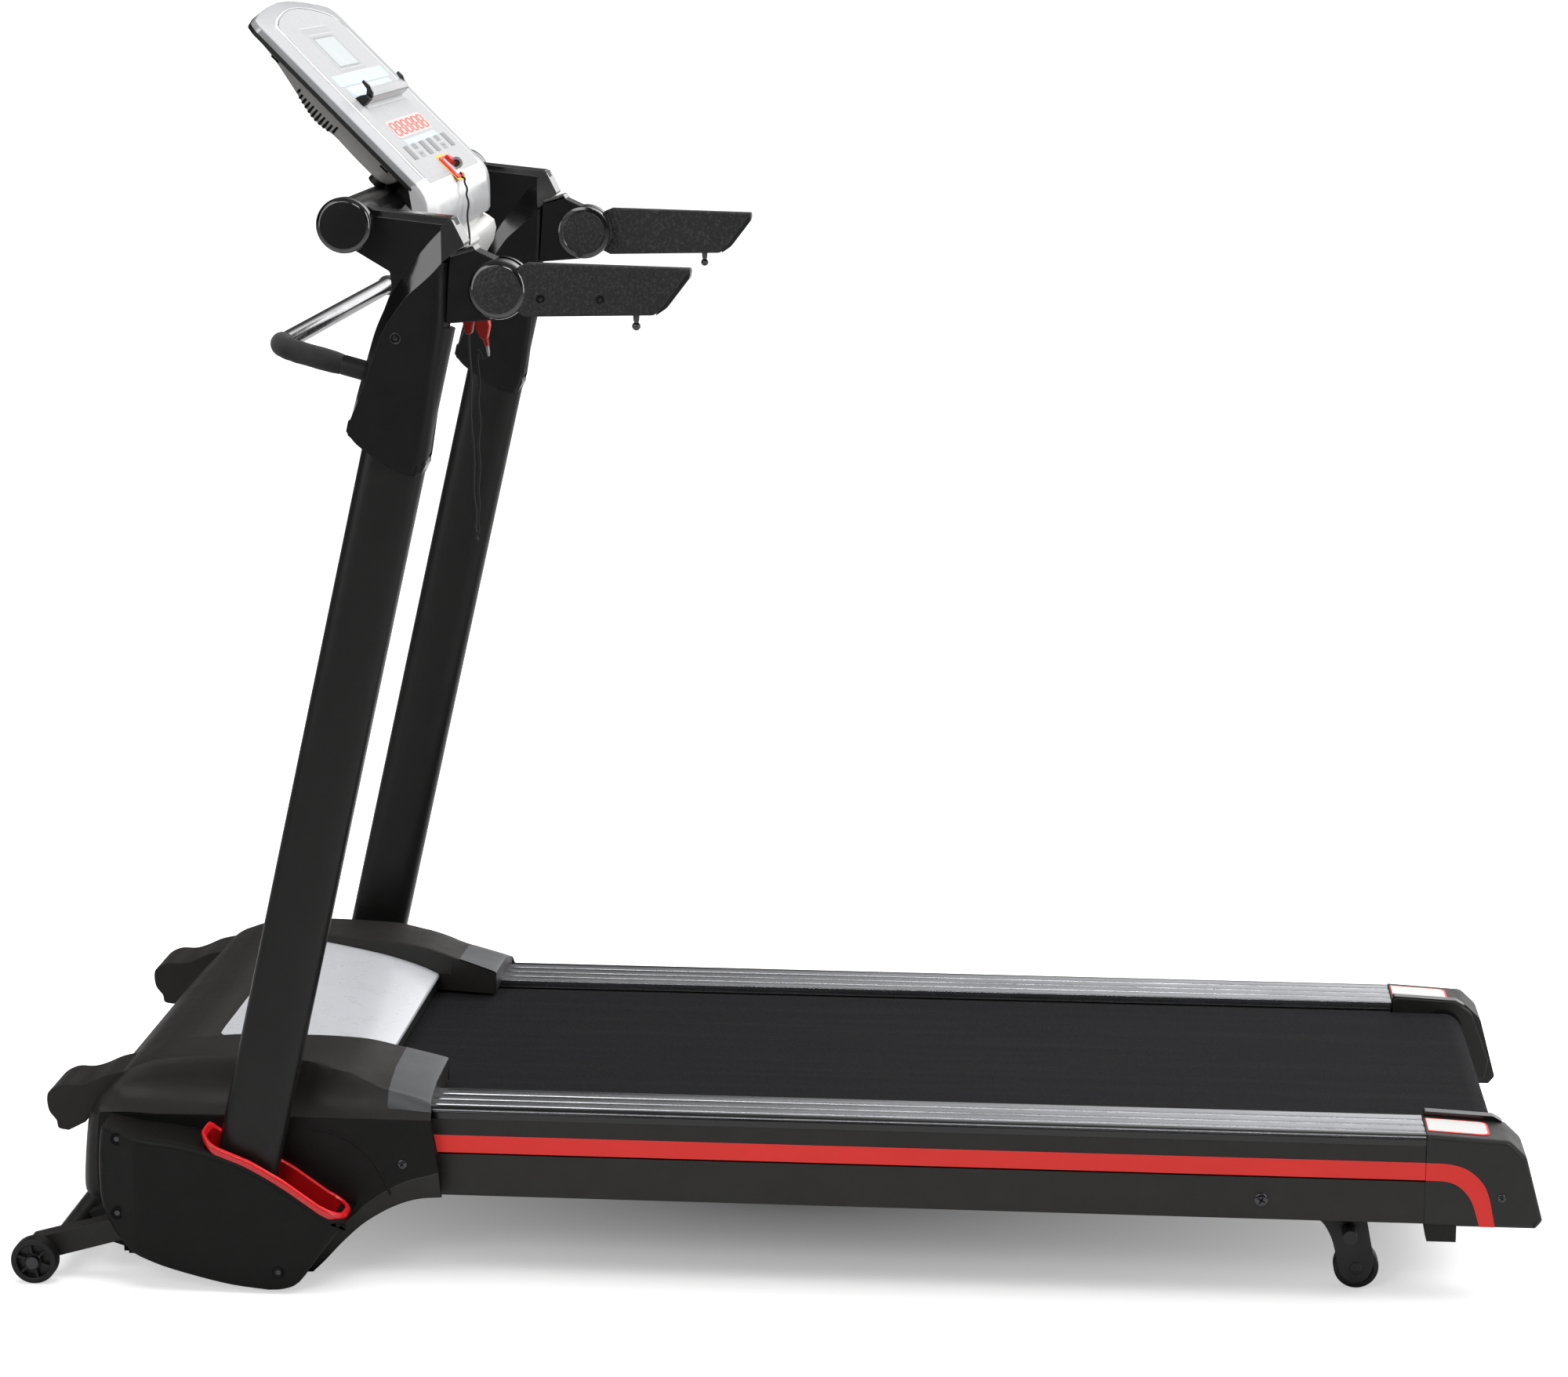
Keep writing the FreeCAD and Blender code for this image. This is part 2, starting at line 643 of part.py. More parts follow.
def incline_foot(name, side):
    """Incline leg: two cheeks and a web, hung under the frame tube on a bolt, with a wheel axle."""
    x, z = size("incline_x"), size("incline_z")
    wx, wz = size("incline_wheel_x"), size("incline_wheel_z")
    cheek = [(x - 34, z - 26), (x - 18, z + 14), (x + 18, z + 14), (x + 24, z - 26), (wx + 19, wz + 12),
             (wx + 12, wz - 10), (wx, wz - 18), (wx - 14, wz - 10), (wx - 26, wz + 16)]
    inner = size("incline_inner")
    holes = [(x, z, 5.05)]
    plates = [side_prism(cheek, start, start + 3, side, holes) for start in (inner, inner + 27)]
    web = side_box(x - 24, inner + 1, z - 24, 4, 28, 26, side)
    axle = side_rod(wx, inner + 1, inner + 29, wz, 4, side)
    lock_hole = side_rod(x + 4, inner + 26, inner + 31, z - 37, 4.06, side)
    node("incline_foot_" + name, cut(fuse(*plates, web, axle), lock_hole))
    across = (inner + 15) * side
    body = turned(wheel_profile(number(size("incline_wheel_radius")), 22, 4 + SLACK), wx, across, wz)
    node("incline_wheel_" + name, body)


def incline_pin(name, side):
    """Spring pin that locks the incline leg: pulled outwards to release it."""
    x, z = size("incline_x") + 4, size("incline_z") - 37
    inner = size("incline_inner")
    stem = side_rod(x, inner + 23.5, inner + 58, z, 4, side)
    knob = side_rod(x, inner + 34, inner + 62, z, 8, side)
    node("incline_pin_" + name, fuse(stem, knob))


def deck_screws():
    """Screws in the frame side, the end caps, the fairings and the pivot covers."""
    screws = []
    for side in (-1, 1):
        screws.append(side_rod(1134, frame_outer + 0.05, frame_outer + 3.5, 113, 7, side))
        screws.append(side_rod(1396, frame_outer + 1.05, frame_outer + 2.5, 123, 4.5, side))
        screws.append(side_rod(181, 330.05, 331.6, 133, 5, side))
        for x, z in ((-131, 172), (-131, 82), (49, 24)):
            screws.append(side_rod(x, 395.05, 396, z, 4.5, side))
    node("deck_screws", group_of(*screws))


# ---------------------------------------------------------------- folding uprights
def upright(name, side):
    """Rounded rectangular steel tube, pivoted at the bottom and leaning towards the runner."""
    depth, width = number(size("upright_depth")), number(size("upright_width"))
    wall = number(size("upright_wall"))
    body = doc.addObject("PartDesign::Body", "Body")
    sketch = sketch_on(body, "XY_Plane", -size("upright_tail"))
    draw_rounded(sketch, depth, width, 15)
    draw_rounded(sketch, depth - 2 * wall, width - 2 * wall, 13)
    pad = body.newObject("PartDesign::Pad", "Pad")
    pad.Profile = sketch
    bind(pad, "Length", size("upright_length") + size("upright_tail"))
    lean = Rotation(Vector(0, 1, 0), SIZES["upright_lean"])
    place(body, 0, size("upright_middle") * side, pivot_z, lean)
    hole = side_rod(0, 330, 386, pivot_z, size("pivot_bolt_radius") + SLACK, side)
    node("upright_" + name, cut(body, hole))


def draw_rounded(sketch, length, width, corner):
    """A rectangle with round corners about the sketch origin."""
    a, b = length / 2, width / 2
    first = sketch.GeometryCount
    centres = [(a - corner, b - corner, 0), (corner - a, b - corner, 90),
               (corner - a, corner - b, 180), (a - corner, corner - b, 270)]
    for x, y, angle in centres:
        circle = Part.Circle(Vector(x, y, 0), Vector(0, 0, 1), corner)
        arc = Part.ArcOfCircle(circle, math.radians(angle), math.radians(angle + 90))
        sketch.addGeometry(arc, False)
    ends = [(sketch.getPoint(first + i, 2), sketch.getPoint(first + (i + 1) % 4, 1)) for i in range(4)]
    for tip, tail in ends:
        sketch.addGeometry(Part.LineSegment(tip, tail), False)
    for i in range(4):
        sketch.addConstraint(Sketcher.Constraint("Tangent", first + i, 2, first + 4 + i, 1))
        sketch.addConstraint(Sketcher.Constraint("Tangent", first + 4 + i, 2, first + (i + 1) % 4, 1))


def crossbar():
    """Round tube across the top of the uprights that carries the console, and its end caps."""
    x, z, radius, half = (size("crossbar_" + word) for word in ("x", "z", "radius", "half"))
    tube = cut(rod(x, -half, z, radius, half * 2), rod(x, -half - 1, z, radius - 2.5, half * 2 + 2))
    node("crossbar", tube)
    caps = []
    for side in (-1, 1):
        disc = side_rod(x, half + 0.05, half + 6, z, radius, side)
        plug = side_rod(x, half - 12, half + 1, z, radius - 2.55, side)
        caps.append(fuse(disc, plug))
    node("crossbar_caps", group_of(*caps))


def handle_shroud(name, side):
    """Moulded head of an upright: an arm forward to the crossbar and a block back to the handle."""
    hx, hz, radius = size("hub_x"), size("hub_z"), size("hub_radius")
    outline = [(149, 1151), (150, 1205), (175, 1195), (259, 1187), (272, 1160), (255, 1130), (252, 1077),
               (228, 932), (220, 914), (194, 921), (173, 934), (150, 952), (140, 964), (146, 985),
               (167, 1069), (195, 1123), (193, 1131)]
    inner, outer = size("shroud_inner"), size("shroud_outer")
    head = side_prism(outline, inner, outer, side)
    block = side_prism([(246, 1077), (hx, hz - 30), (hx, hz + 30), (279, 1156), (252, 1150)],
                       inner, size("handle_inner") - 1, side)
    seat = side_rod(hx, inner, size("handle_inner") - 1, hz, 30, side)
    pin = side_rod(hx, size("handle_inner") - 2, size("handle_outer") - 4, hz, 10, side)
    inner_disc = side_rod(hx, inner - 5, inner + 1, hz, radius, side)
    socket = box(-number(size("upright_depth")) / 2 - 0.3, -18.3, 760, 71.6, 36.6, 304)
    holder = group_of(socket)
    lean = Rotation(Vector(0, 1, 0), SIZES["upright_lean"])
    place(holder, 0, size("upright_middle") * side, pivot_z, lean)
    bar_hole = side_rod(size("crossbar_x"), inner - 2, outer + 2, size("crossbar_z"),
                        size("crossbar_radius") + 0.1, side)
    node("handle_shroud_" + name, cut(fuse(head, block, seat, pin, inner_disc), holder,
                                         bar_hole, lift_socket(side)))


def handle(name, side):
    """Grip that turns on the round hub; the stud under it snaps onto the head when it is folded."""
    hx, hz, radius = size("hub_x"), size("hub_z"), size("hub_radius")
    inner, outer = size("handle_inner"), size("handle_outer")
    hub = side_rod(hx, inner, outer, hz, radius, side)
    grip = side_prism([(hx + 20, hz - 24), (hx + 20, hz + 24), (hx + 29, hz + 27), (hx + 205, hz + 23),
                       (hx + 203, hz + 17), (hx + 176, hz - 18), (hx + 166, hz - 25), (hx + 29, hz - 28)],
                      inner, outer - 3, side)
    stud = rod(hx + 146, (inner + 11) * side, hz - 38, 3, 16, "z")
    ball = doc.addObject("Part::Sphere", "Ball")
    ball.Radius = 4.5
    place(ball, hx + 146, (inner + 11) * side, hz - 38)
    bore = side_rod(hx, inner - 1, outer - 3.5, hz, 10 + SLACK, side)
    node("handle_" + name, cut(fuse(hub, grip, stud, ball), bore))


LIFT_ROOT = 20
LIFT_RISE = 15


def lift_socket(side):
    """Hole in the head of an upright that a leg of the lift handle is set in."""
    hole = rod(0, 0, 0, size("lift_tube_radius") + SLACK, LIFT_ROOT + 20, "x")
    turn = Rotation(Vector(0, 1, 0), LIFT_RISE).multiply(ALONG["x"])
    place(hole, size("lift_x") - 18, size("lift_half") * side, size("lift_z") + 4.8, turn)
    return hole


def lift_body(radius, bore, along, across):
    """A tube that follows the bend of the lift handle; along and across are its straight lengths."""
    reach, half, bend = number(size("lift_reach")), number(size("lift_half")), 26
    body = doc.addObject("PartDesign::Body", "Body")
    path = sketch_on(body, "XY_Plane")
    start = Vector(along, -half, 0)
    corner = Vector(-reach, -half, 0)
    legs = [Part.LineSegment(start, corner + Vector(bend, 0, 0)),
            Part.ArcOfCircle(Part.Circle(corner + Vector(bend, bend, 0), Vector(0, 0, 1), bend),
                             math.pi, math.pi * 1.5)]
    if across is None:
        far = Vector(-reach, half, 0)
        legs += [Part.LineSegment(corner + Vector(0, bend, 0), far + Vector(0, -bend, 0)),
                 Part.ArcOfCircle(Part.Circle(far + Vector(bend, -bend, 0), Vector(0, 0, 1), bend),
                                  math.pi / 2, math.pi),
                 Part.LineSegment(far + Vector(bend, 0, 0), Vector(along, half, 0))]
    else:
        legs.append(Part.LineSegment(corner + Vector(0, bend, 0), corner + Vector(0, bend + across, 0)))
    path.addGeometry(legs, False)
    section = body.newObject("Sketcher::SketchObject", "Section")
    section.AttachmentSupport = [(origin_plane(body, "YZ_Plane"), "")]
    section.MapMode = "FlatFace"
    section.AttachmentOffset = Placement(Vector(0, 0, along), Rotation())
    for ring in [radius] + ([bore] if bore else []):
        section.addGeometry(Part.Circle(Vector(-half, 0, 0), Vector(0, 0, 1), ring), False)
    pipe = body.newObject("PartDesign::AdditivePipe", "Pipe")
    pipe.Profile = section
    pipe.Spine = path
    return body


def lift_handle():
    """Bent chromed tube in front of the uprights, with foam sleeves over its two corners."""
    turn = Rotation(Vector(0, 1, 0), LIFT_RISE)
    tube = lift_body(10, 7.5, LIFT_ROOT, None)
    place(tube, size("lift_x"), 0, size("lift_z"), turn)
    node("lift_handle", tube)
    foam = []
    for side in (-1, 1):
        sleeve = lift_body(13, 10.05, -14, 8)
        spin = turn if side < 0 else turn.multiply(Rotation(Vector(1, 0, 0), 180))
        place(sleeve, size("lift_x"), 0, size("lift_z"), spin)
        foam.append(sleeve)
    node("lift_handle_foam", group_of(*foam))


# ---------------------------------------------------------------- console
def console_place(thing):
    """Move a piece drawn flat into the tilted plane of the console face."""
    turn = Rotation(Vector(0, 1, 0), SIZES["console_tilt"])
    place(thing, size("console_x"), 0, size("console_z"), turn)
    return thing


def both_halves(quarter, half):
    """A closed outline from (down the slope, share of the half width) points of one half."""
    return [(x, half * share) for x, share in quarter] + [(x, -half * share) for x, share in quarter[::-1]]


def rim_outline():
    """Outer edge of the face: straight sides, near-square top corners and a bowed top edge."""
    end = size("console_length") * 0.5
    quarter = [(end, 0.95), (end - 13, 1.0), (8 - end, 1.0), (-1 - end, 0.96), (-9 - end, 0.75),
               (-17 - end, 0.42), (-21 - end, 0.14)]
    return both_halves(quarter, size("console_half"))


def panel_outline():
    """Edge of the flat panel, inside the sloping rim."""
    end = size("console_length") * 0.5
    quarter = [(end - 16, 1.0), (end - 30, 1.0), (20 - end, 0.98), (13 - end, 0.94), (5 - end, 0.7),
               (-3 - end, 0.38), (-6 - end, 0.13)]
    return both_halves(quarter, size("panel_half"))


def narrowed(low_points, high_points, low, high):
    """A solid that narrows evenly from one outline to another that has as many corners."""
    body = doc.addObject("PartDesign::Body", "Body")
    bottom = sketch_on(body, "XY_Plane", low)
    draw_loop(bottom, low_points)
    top = sketch_on(body, "XY_Plane", high)
    draw_loop(top, high_points)
    skin = body.newObject("PartDesign::AdditiveLoft", "Loft")
    skin.Profile = bottom
    skin.Sections = [top]
    skin.Ruled = True
    return body


# Windows of the face: start down the slope, length down the slope and half width.
WINDOWS = ((-99, 52, 66), (31, 24, 104))
WINDOW_DEPTH = 4


def console_back():
    """Hollow shell that is deepest at mid height, and the neck that sits on the crossbar."""
    half = size("console_half") - 14
    shell = prism([(-127, -14), (-127, -20), (-30, -44), (56, -44), (88, -26), (88, -14)], -half, half * 2)
    room = prism([(-112, -17), (-30, -40), (54, -40), (84, -24), (84, -17)], 4 - half, half * 2 - 8)
    neck = box(80, -150, -36, 32, 300, 22)
    saddle = rod(size("crossbar_x"), -300, size("crossbar_z"), size("crossbar_radius") + 0.1, 600)
    node("console_back", cut(console_place(fuse(cut(shell, room), neck)), saddle))


def console_face():
    """Face with its sloping rim, the rounded nose at the bottom, and recesses for what it carries."""
    thickness, drop = size("face_thickness"), size("rim_drop")
    base = prism(rim_outline(), -thickness, thickness - drop, "XY_Plane")
    crown = narrowed(rim_outline(), panel_outline(), -drop, 0)
    nose = prism([(112, 0), (119, 0), (134, -5.5), (148, -14.5), (160, -26), (166, -34), (168, -38),
                  (162, -44.5), (143, -27), (122, -20), (112, -13.9)], -200, 400)
    length, width = size("key_length"), size("key_width")
    key_holes = [box(64, key_y(i) - width * 0.5 - 0.1, -6, length + 0.2, width + 0.2, 10) for i in range(6)]
    magnet = box(96, -18, -6, 30, 36, 10)
    groove_half = size("ledge_half") + 1
    groove = box(-4, -groove_half, -6, 8, groove_half * 2, 10)
    windows = [box(start, -half, -WINDOW_DEPTH, run, half * 2, 10) for start, run, half in WINDOWS]
    node("console_face", console_place(cut(fuse(base, crown, nose), *key_holes, magnet, groove, *windows)))


def console_fittings():
    """Window panes, device ledge, apron and keys."""
    panes = []
    for start, run, half in WINDOWS:
        panes.append(box(start + 0.1, 0.1 - half, 0.05 - WINDOW_DEPTH,
                         run - 0.2, half * 2 - 0.2, WINDOW_DEPTH - 0.8))
    node("console_windows", console_place(group_of(*panes)))
    ledge_half = size("ledge_half")
    ledge = prism([(-3.9, -5.9), (-3.9, 14), (-13, 17), (-13, 21), (0, 21), (3.9, 14), (3.9, -5.9)],
                  -ledge_half, ledge_half * 2)
    node("device_ledge", console_place(ledge))
    apron_half = size("apron_half")
    apron = prism([(198, 1142), (214, 1145), (221, 1141), (223, 1134), (217, 1120), (202, 1092),
                   (192, 1092), (208, 1122), (211, 1133), (198, 1134)], -apron_half, apron_half * 2)
    node("console_apron", apron)
    for i in range(6):
        key = box(64.1, key_y(i) - size("key_width") * 0.5, -4, size("key_length"), size("key_width"), 5.5)
        node("console_key_%d" % (i + 1), console_place(group_of(key)))


def key_y(index):
    return size("key_pitch") * (index - 2.5)


def safety_key():
    """Magnetic stop key on the console, its cord and the clip at the far end of the cord."""
    plate = box(96.1, -17.9, -5.9, 29.8, 35.8, 8)
    knob = box(106, -5, 2, 14, 10, 10)
    node("safety_key", console_place(fuse(plate, knob)))


def safety_cord():
    """Cord that hangs in a loop from the key to its clip."""
    points = [Vector(210.4, 0, 1210), Vector(228, -44, 1160), Vector(240, -150, 1010),
              Vector(252, -205, 850), Vector(258, -236, 822), Vector(264, -262, 860),
              Vector(270, -290, 1040)]
    curve = Part.BSplineCurve()
    curve.interpolate(points)
    spine = Part.Wire([curve.toShape()])
    start, direction = points[0], curve.tangent(curve.FirstParameter)[0]
    ring = Part.Wire([Part.makeCircle(1.2, start, direction)])
    cord_shape = spine.makePipeShell([ring], True, True)
    cord = doc.addObject("Part::Feature", "Cord")
    cord.Shape = cord_shape
    clip = prism([(261, 1042), (279, 1042), (283, 1058), (277, 1078), (263, 1078), (258, 1058)], -300, 20)
    node("safety_cord", fuse(cord, clip))


def build():
    main_frame()
    side_channels()
    trim_decals()
    running_deck()
    walking_belt()
    rollers()
    motor()
    electronics()
    motor_hood()
    hood_panel()
    nose_bumpers()
    side_fairings()
    slot_bezels()
    front_stand()
    rubber_mounts()
    pivot_bolts()
    deck_screws()
    crossbar()
    lift_handle()
    console_back()
    console_face()
    console_fittings()
    safety_key()
    safety_cord()
    for name, side in SIDES.items():
        foot_rail(name, side)
        end_cap(name, side)
        pivot_cover(name, side)
        front_wheel(name, side)
        incline_foot(name, side)
        incline_pin(name, side)
        upright(name, side)
        handle_shroud(name, side)
        handle(name, side)


def check_and_export():
    doc.recompute()
    bad = [thing.Label for thing in doc.Objects
           if "Invalid" in thing.State or "Error" in thing.State]
    if bad:
        raise RuntimeError("failed objects: " + ", ".join(bad))
    for thing in nodes:
        if thing.Shape.isNull() or not thing.Shape.isValid():
            raise RuntimeError("bad shape: " + thing.Label)
    os.makedirs("parts", exist_ok=True)
    for thing in nodes:
        thing.Shape.exportStep("parts/" + thing.Label + ".step")
        bounds = thing.Shape.BoundBox
        print("%-22s solids %2d  x %7.1f %7.1f  y %7.1f %7.1f  z %7.1f %7.1f" % (
            thing.Label, len(thing.Shape.Solids), bounds.XMin, bounds.XMax, bounds.YMin, bounds.YMax,
            bounds.ZMin, bounds.ZMax))


build()
check_and_export()
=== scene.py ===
import json
import math

import bmesh
import bpy
from mathutils import Matrix, Vector


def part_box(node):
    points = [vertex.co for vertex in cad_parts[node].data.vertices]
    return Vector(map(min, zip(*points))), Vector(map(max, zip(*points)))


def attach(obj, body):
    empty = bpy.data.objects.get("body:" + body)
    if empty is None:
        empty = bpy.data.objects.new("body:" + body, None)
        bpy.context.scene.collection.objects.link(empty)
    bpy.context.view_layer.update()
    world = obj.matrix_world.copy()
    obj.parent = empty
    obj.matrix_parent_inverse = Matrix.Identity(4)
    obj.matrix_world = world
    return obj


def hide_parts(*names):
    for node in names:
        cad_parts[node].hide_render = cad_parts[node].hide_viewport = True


# Folding motorised treadmill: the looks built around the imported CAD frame.
# Shapes are drawn in millimetres from the pivot axis of the uprights (x towards the belt exit, z up from
# the floor) and moved to the frame by Piece. "left" is -Y and "right" is +Y. What comes in pairs is drawn
# for the right side, and Piece mirrors it for the left.

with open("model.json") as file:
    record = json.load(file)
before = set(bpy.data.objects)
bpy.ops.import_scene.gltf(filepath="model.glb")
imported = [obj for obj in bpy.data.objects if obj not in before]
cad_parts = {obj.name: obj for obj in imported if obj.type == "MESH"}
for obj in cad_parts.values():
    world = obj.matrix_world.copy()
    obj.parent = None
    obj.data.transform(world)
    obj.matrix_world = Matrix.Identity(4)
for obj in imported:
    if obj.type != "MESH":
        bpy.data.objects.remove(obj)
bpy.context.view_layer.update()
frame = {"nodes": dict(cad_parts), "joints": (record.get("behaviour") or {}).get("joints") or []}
JOINTS = {joint["name"]: joint for joint in frame["joints"]}
PIVOT = Vector(JOINTS["upright_fold"]["pos_m"])
SIDES = {"left": -1, "right": 1}
MM = 1000
SHARP_ANGLE = math.radians(38)


def from_pivot(x, y, z):
    """Frame metres to millimetres from the pivot axis."""
    return Vector(((x - PIVOT.x) * MM, y * MM, z * MM))


def cad_box(node):
    low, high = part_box(node)
    return from_pivot(*low), from_pivot(*high)


HUB = from_pivot(*JOINTS["handle_left_fold"]["pos_m"])
BELT_LOW, BELT_HIGH = cad_box("walking_belt")
RAIL_LOW, RAIL_HIGH = cad_box("foot_rail_right")
FACE_Y = cad_box("side_channels")[1].y
RAIL_FRONT, RAIL_REAR, RAIL_TOP = RAIL_LOW.x, RAIL_HIGH.x, RAIL_HIGH.z
CAP_JOINT = RAIL_REAR + 0.5


# ------------------------------------------------------------------------------------ materials
class Shader:
    """The nodes of a material, or of the world, made step by step; every call returns an output socket."""

    def __init__(self, owner, surface="Principled BSDF", coordinate="Object"):
        owner.use_nodes = True
        self.owner, self.tree = owner, owner.node_tree
        self.surface = self.tree.nodes[surface]
        self.coordinate = self.node("ShaderNodeTexCoord").outputs[coordinate]

    def node(self, kind, **settings):
        made = self.tree.nodes.new(kind)
        for key, value in settings.items():
            setattr(made, key, value)
        return made

    def plug(self, socket, value):
        if isinstance(value, bpy.types.NodeSocket):
            self.tree.links.new(value, socket)
        elif isinstance(value, (tuple, list)) and len(value) == 3 and socket.type == "RGBA":
            socket.default_value = (*value, 1)
        else:
            socket.default_value = value

    def set(self, name, value):
        self.plug(self.surface.inputs[name], value)

    def made(self, kind, output, values, **settings):
        """A new node with its inputs filled by name or index."""
        node = self.node(kind, **settings)
        for key, value in values.items():
            self.plug(node.inputs[key], value)
        return node.outputs[output]

    def stretched(self, scale):
        return self.made("ShaderNodeMapping", "Vector", {"Vector": self.coordinate, "Scale": scale})

    def noise(self, scale, detail=3.0, rough=0.55, vector=None):
        return self.made("ShaderNodeTexNoise", "Fac", {"Vector": vector or self.coordinate, "Scale": scale,
            "Detail": detail, "Roughness": rough})

    def cells(self, scale, feature="F1"):
        return self.made("ShaderNodeTexVoronoi", "Distance", {"Vector": self.coordinate, "Scale": scale},
            feature=feature)

    def waves(self, scale, direction="X", distortion=0.0):
        return self.made("ShaderNodeTexWave", "Fac", {"Vector": self.coordinate, "Scale": scale,
            "Distortion": distortion}, bands_direction=direction)

    def ramp(self, value, low, high, out_low=0.0, out_high=1.0, **settings):
        return self.made("ShaderNodeMapRange", "Result", {"Value": value, "From Min": low, "From Max": high,
            "To Min": out_low, "To Max": out_high}, **settings)

    def maths(self, operation, a, b):
        return self.made("ShaderNodeMath", 0, {0: a, 1: b}, operation=operation)

    def mix(self, share, a, b):
        return self.made("ShaderNodeMix", 2, {"Factor": share, 6: a, 7: b}, data_type="RGBA")

    def bump(self, height, depth, strength=1.0, under=None):
        """Relief of a depth in millimetres, on top of another normal."""
        values = {"Strength": strength, "Distance": depth / MM, "Height": height}
        return self.made("ShaderNodeBump", "Normal", values if under is None else {**values, "Normal": under})

    def rounded(self, radius):
        """Shading normal with edges rounded by a radius in millimetres."""
        return self.made("ShaderNodeBevel", "Normal", {"Radius": radius / MM}, samples=4)

    def facing(self):
        return self.node("ShaderNodeNewGeometry").outputs["Normal"]

    def edges(self, radius):
        """0 on flat areas, rising to 1 on edges."""
        turn = self.made("ShaderNodeVectorMath", "Value", {0: self.rounded(radius), 1: self.facing()},
            operation="DOT_PRODUCT")
        return self.ramp(turn, 0.995, 0.8)


def new_shader(name):
    return Shader(bpy.data.materials.new(name))


def tint(colour, share):
    return tuple(min(1.0, part * share) for part in colour)


def coated(name, colour, rough=0.45, metal=0.0, grain=0.8, depth=0.03, blotch=0.15, wear_and_highlight=0.25, worn_and_lit=None,
        coat=0.0, specular=0.4, round_edge=0.6, cellular=False, flake=0.0, wave=0.12, glow=0.0):
    """Painted, moulded or anodised surface: grain, blotches, uneven sheen, and lighter edges that are partly
    wear and partly a painted highlight.
    The size and depth of the grain, the rounding of edges and the depth of the waves are in millimetres."""
    shade = new_shader(name)
    fine = shade.cells(MM / grain) if cellular else shade.noise(MM / grain)
    broad = shade.noise(7.0, 4.0)
    smudge = shade.noise(31.0, 5.0, 0.65)
    base = shade.mix(shade.ramp(broad, 0.3, 0.7), tint(colour, 1 - blotch), tint(colour, 1 + blotch))
    base = shade.mix(shade.ramp(fine, 0.3, 0.8, 0.0, 0.35), base, tint(colour, 0.7))
    if flake:
        spark = shade.ramp(shade.cells(2600), 0.1, 0.0, 0.0, flake)
        base = shade.mix(spark, base, tint(colour, 1.6))
    # lighter edges: partly real wear, partly a painted highlight along the edges
    if wear_and_highlight:
        patchy = shade.ramp(smudge, 0.35, 0.65, 0.2, 1.0)
        edge = shade.maths("MULTIPLY", shade.edges(round_edge * 1.5), patchy)
        base = shade.mix(shade.maths("MULTIPLY", edge, wear_and_highlight), base, worn_and_lit or tint(colour, 3.0))
    shade.set("Base Color", base)
    smudged = shade.ramp(smudge, 0.3, 0.7, -0.06, 0.06)
    spread = shade.maths("ADD", smudged, shade.ramp(fine, 0.2, 0.8, -0.03, 0.03))
    shade.set("Roughness", shade.maths("ADD", spread, rough))
    shade.set("Metallic", metal)
    shade.set("Coat Weight", coat)
    shade.set("Coat Roughness", 0.12)
    shade.set("Specular IOR Level", specular)
    if glow:
        shade.set("Emission Color", base)
        shade.set("Emission Strength", glow)
    normal = shade.bump(shade.noise(60.0, 2.0), wave, 0.35, shade.rounded(round_edge))
    shade.set("Normal", shade.bump(fine, depth, 1.0, normal))
    return shade.owner


def make_belt():
    """Walking belt: pebbled top cover with a fine crossed weave and scuff streaks."""
    shade = new_shader("belt_cover")
    pebble = shade.cells(520.0)
    weave = shade.maths("MULTIPLY", shade.waves(330.0, "X", 0.6), shade.waves(330.0, "Y", 0.6))
    scuff = shade.noise(1.0, 5.0, 0.6, shade.stretched((2.5, 42.0, 6.0)))
    broad = shade.noise(5.0, 3.0)
    base = shade.mix(shade.ramp(pebble, 0.0, 0.7), (0.022, 0.022, 0.024), (0.010, 0.010, 0.011))
    base = shade.mix(shade.ramp(scuff, 0.45, 0.75, 0.0, 0.18), base, (0.026, 0.025, 0.025))
    base = shade.mix(shade.ramp(broad, 0.3, 0.7, 0.0, 0.3), base, (0.014, 0.014, 0.016))
    shade.set("Base Color", base)
    shade.set("Roughness", shade.ramp(scuff, 0.3, 0.7, 0.74, 0.70))
    shade.set("Specular IOR Level", 0.05)
    height = shade.maths("ADD", pebble, shade.maths("MULTIPLY", weave, 0.5))
    shade.set("Normal", shade.bump(height, 0.12, 0.8, shade.bump(shade.noise(9.0), 0.08, 0.3)))
    return shade.owner


def make_grip():
    """Side grip: coarse leather-like mould texture, with lighter specks painted in as glints."""
    shade = new_shader("grip_texture")
    pebble = shade.cells(430.0, "SMOOTH_F1")
    fine = shade.noise(2200.0, 2.0)
    base = shade.mix(shade.ramp(pebble, 0.1, 0.6), (0.020, 0.020, 0.021), (0.006, 0.006, 0.006))
    # painted glints: lighter specks in the colour that stand in for light caught by the texture
    painted_glint = shade.ramp(shade.noise(300.0, 1.0, 0.4), 0.52, 0.70, 0.0, 0.7)
    base = shade.mix(painted_glint, base, (0.055, 0.055, 0.057))
    shade.set("Base Color", base)
    shade.set("Roughness", shade.ramp(fine, 0.3, 0.7, 0.34, 0.52))
    shade.set("Specular IOR Level", 0.5)
    normal = shade.bump(pebble, 0.45, 1.0, shade.rounded(1.2))
    shade.set("Normal", shade.bump(fine, 0.05, 1.0, normal))
    return shade.owner


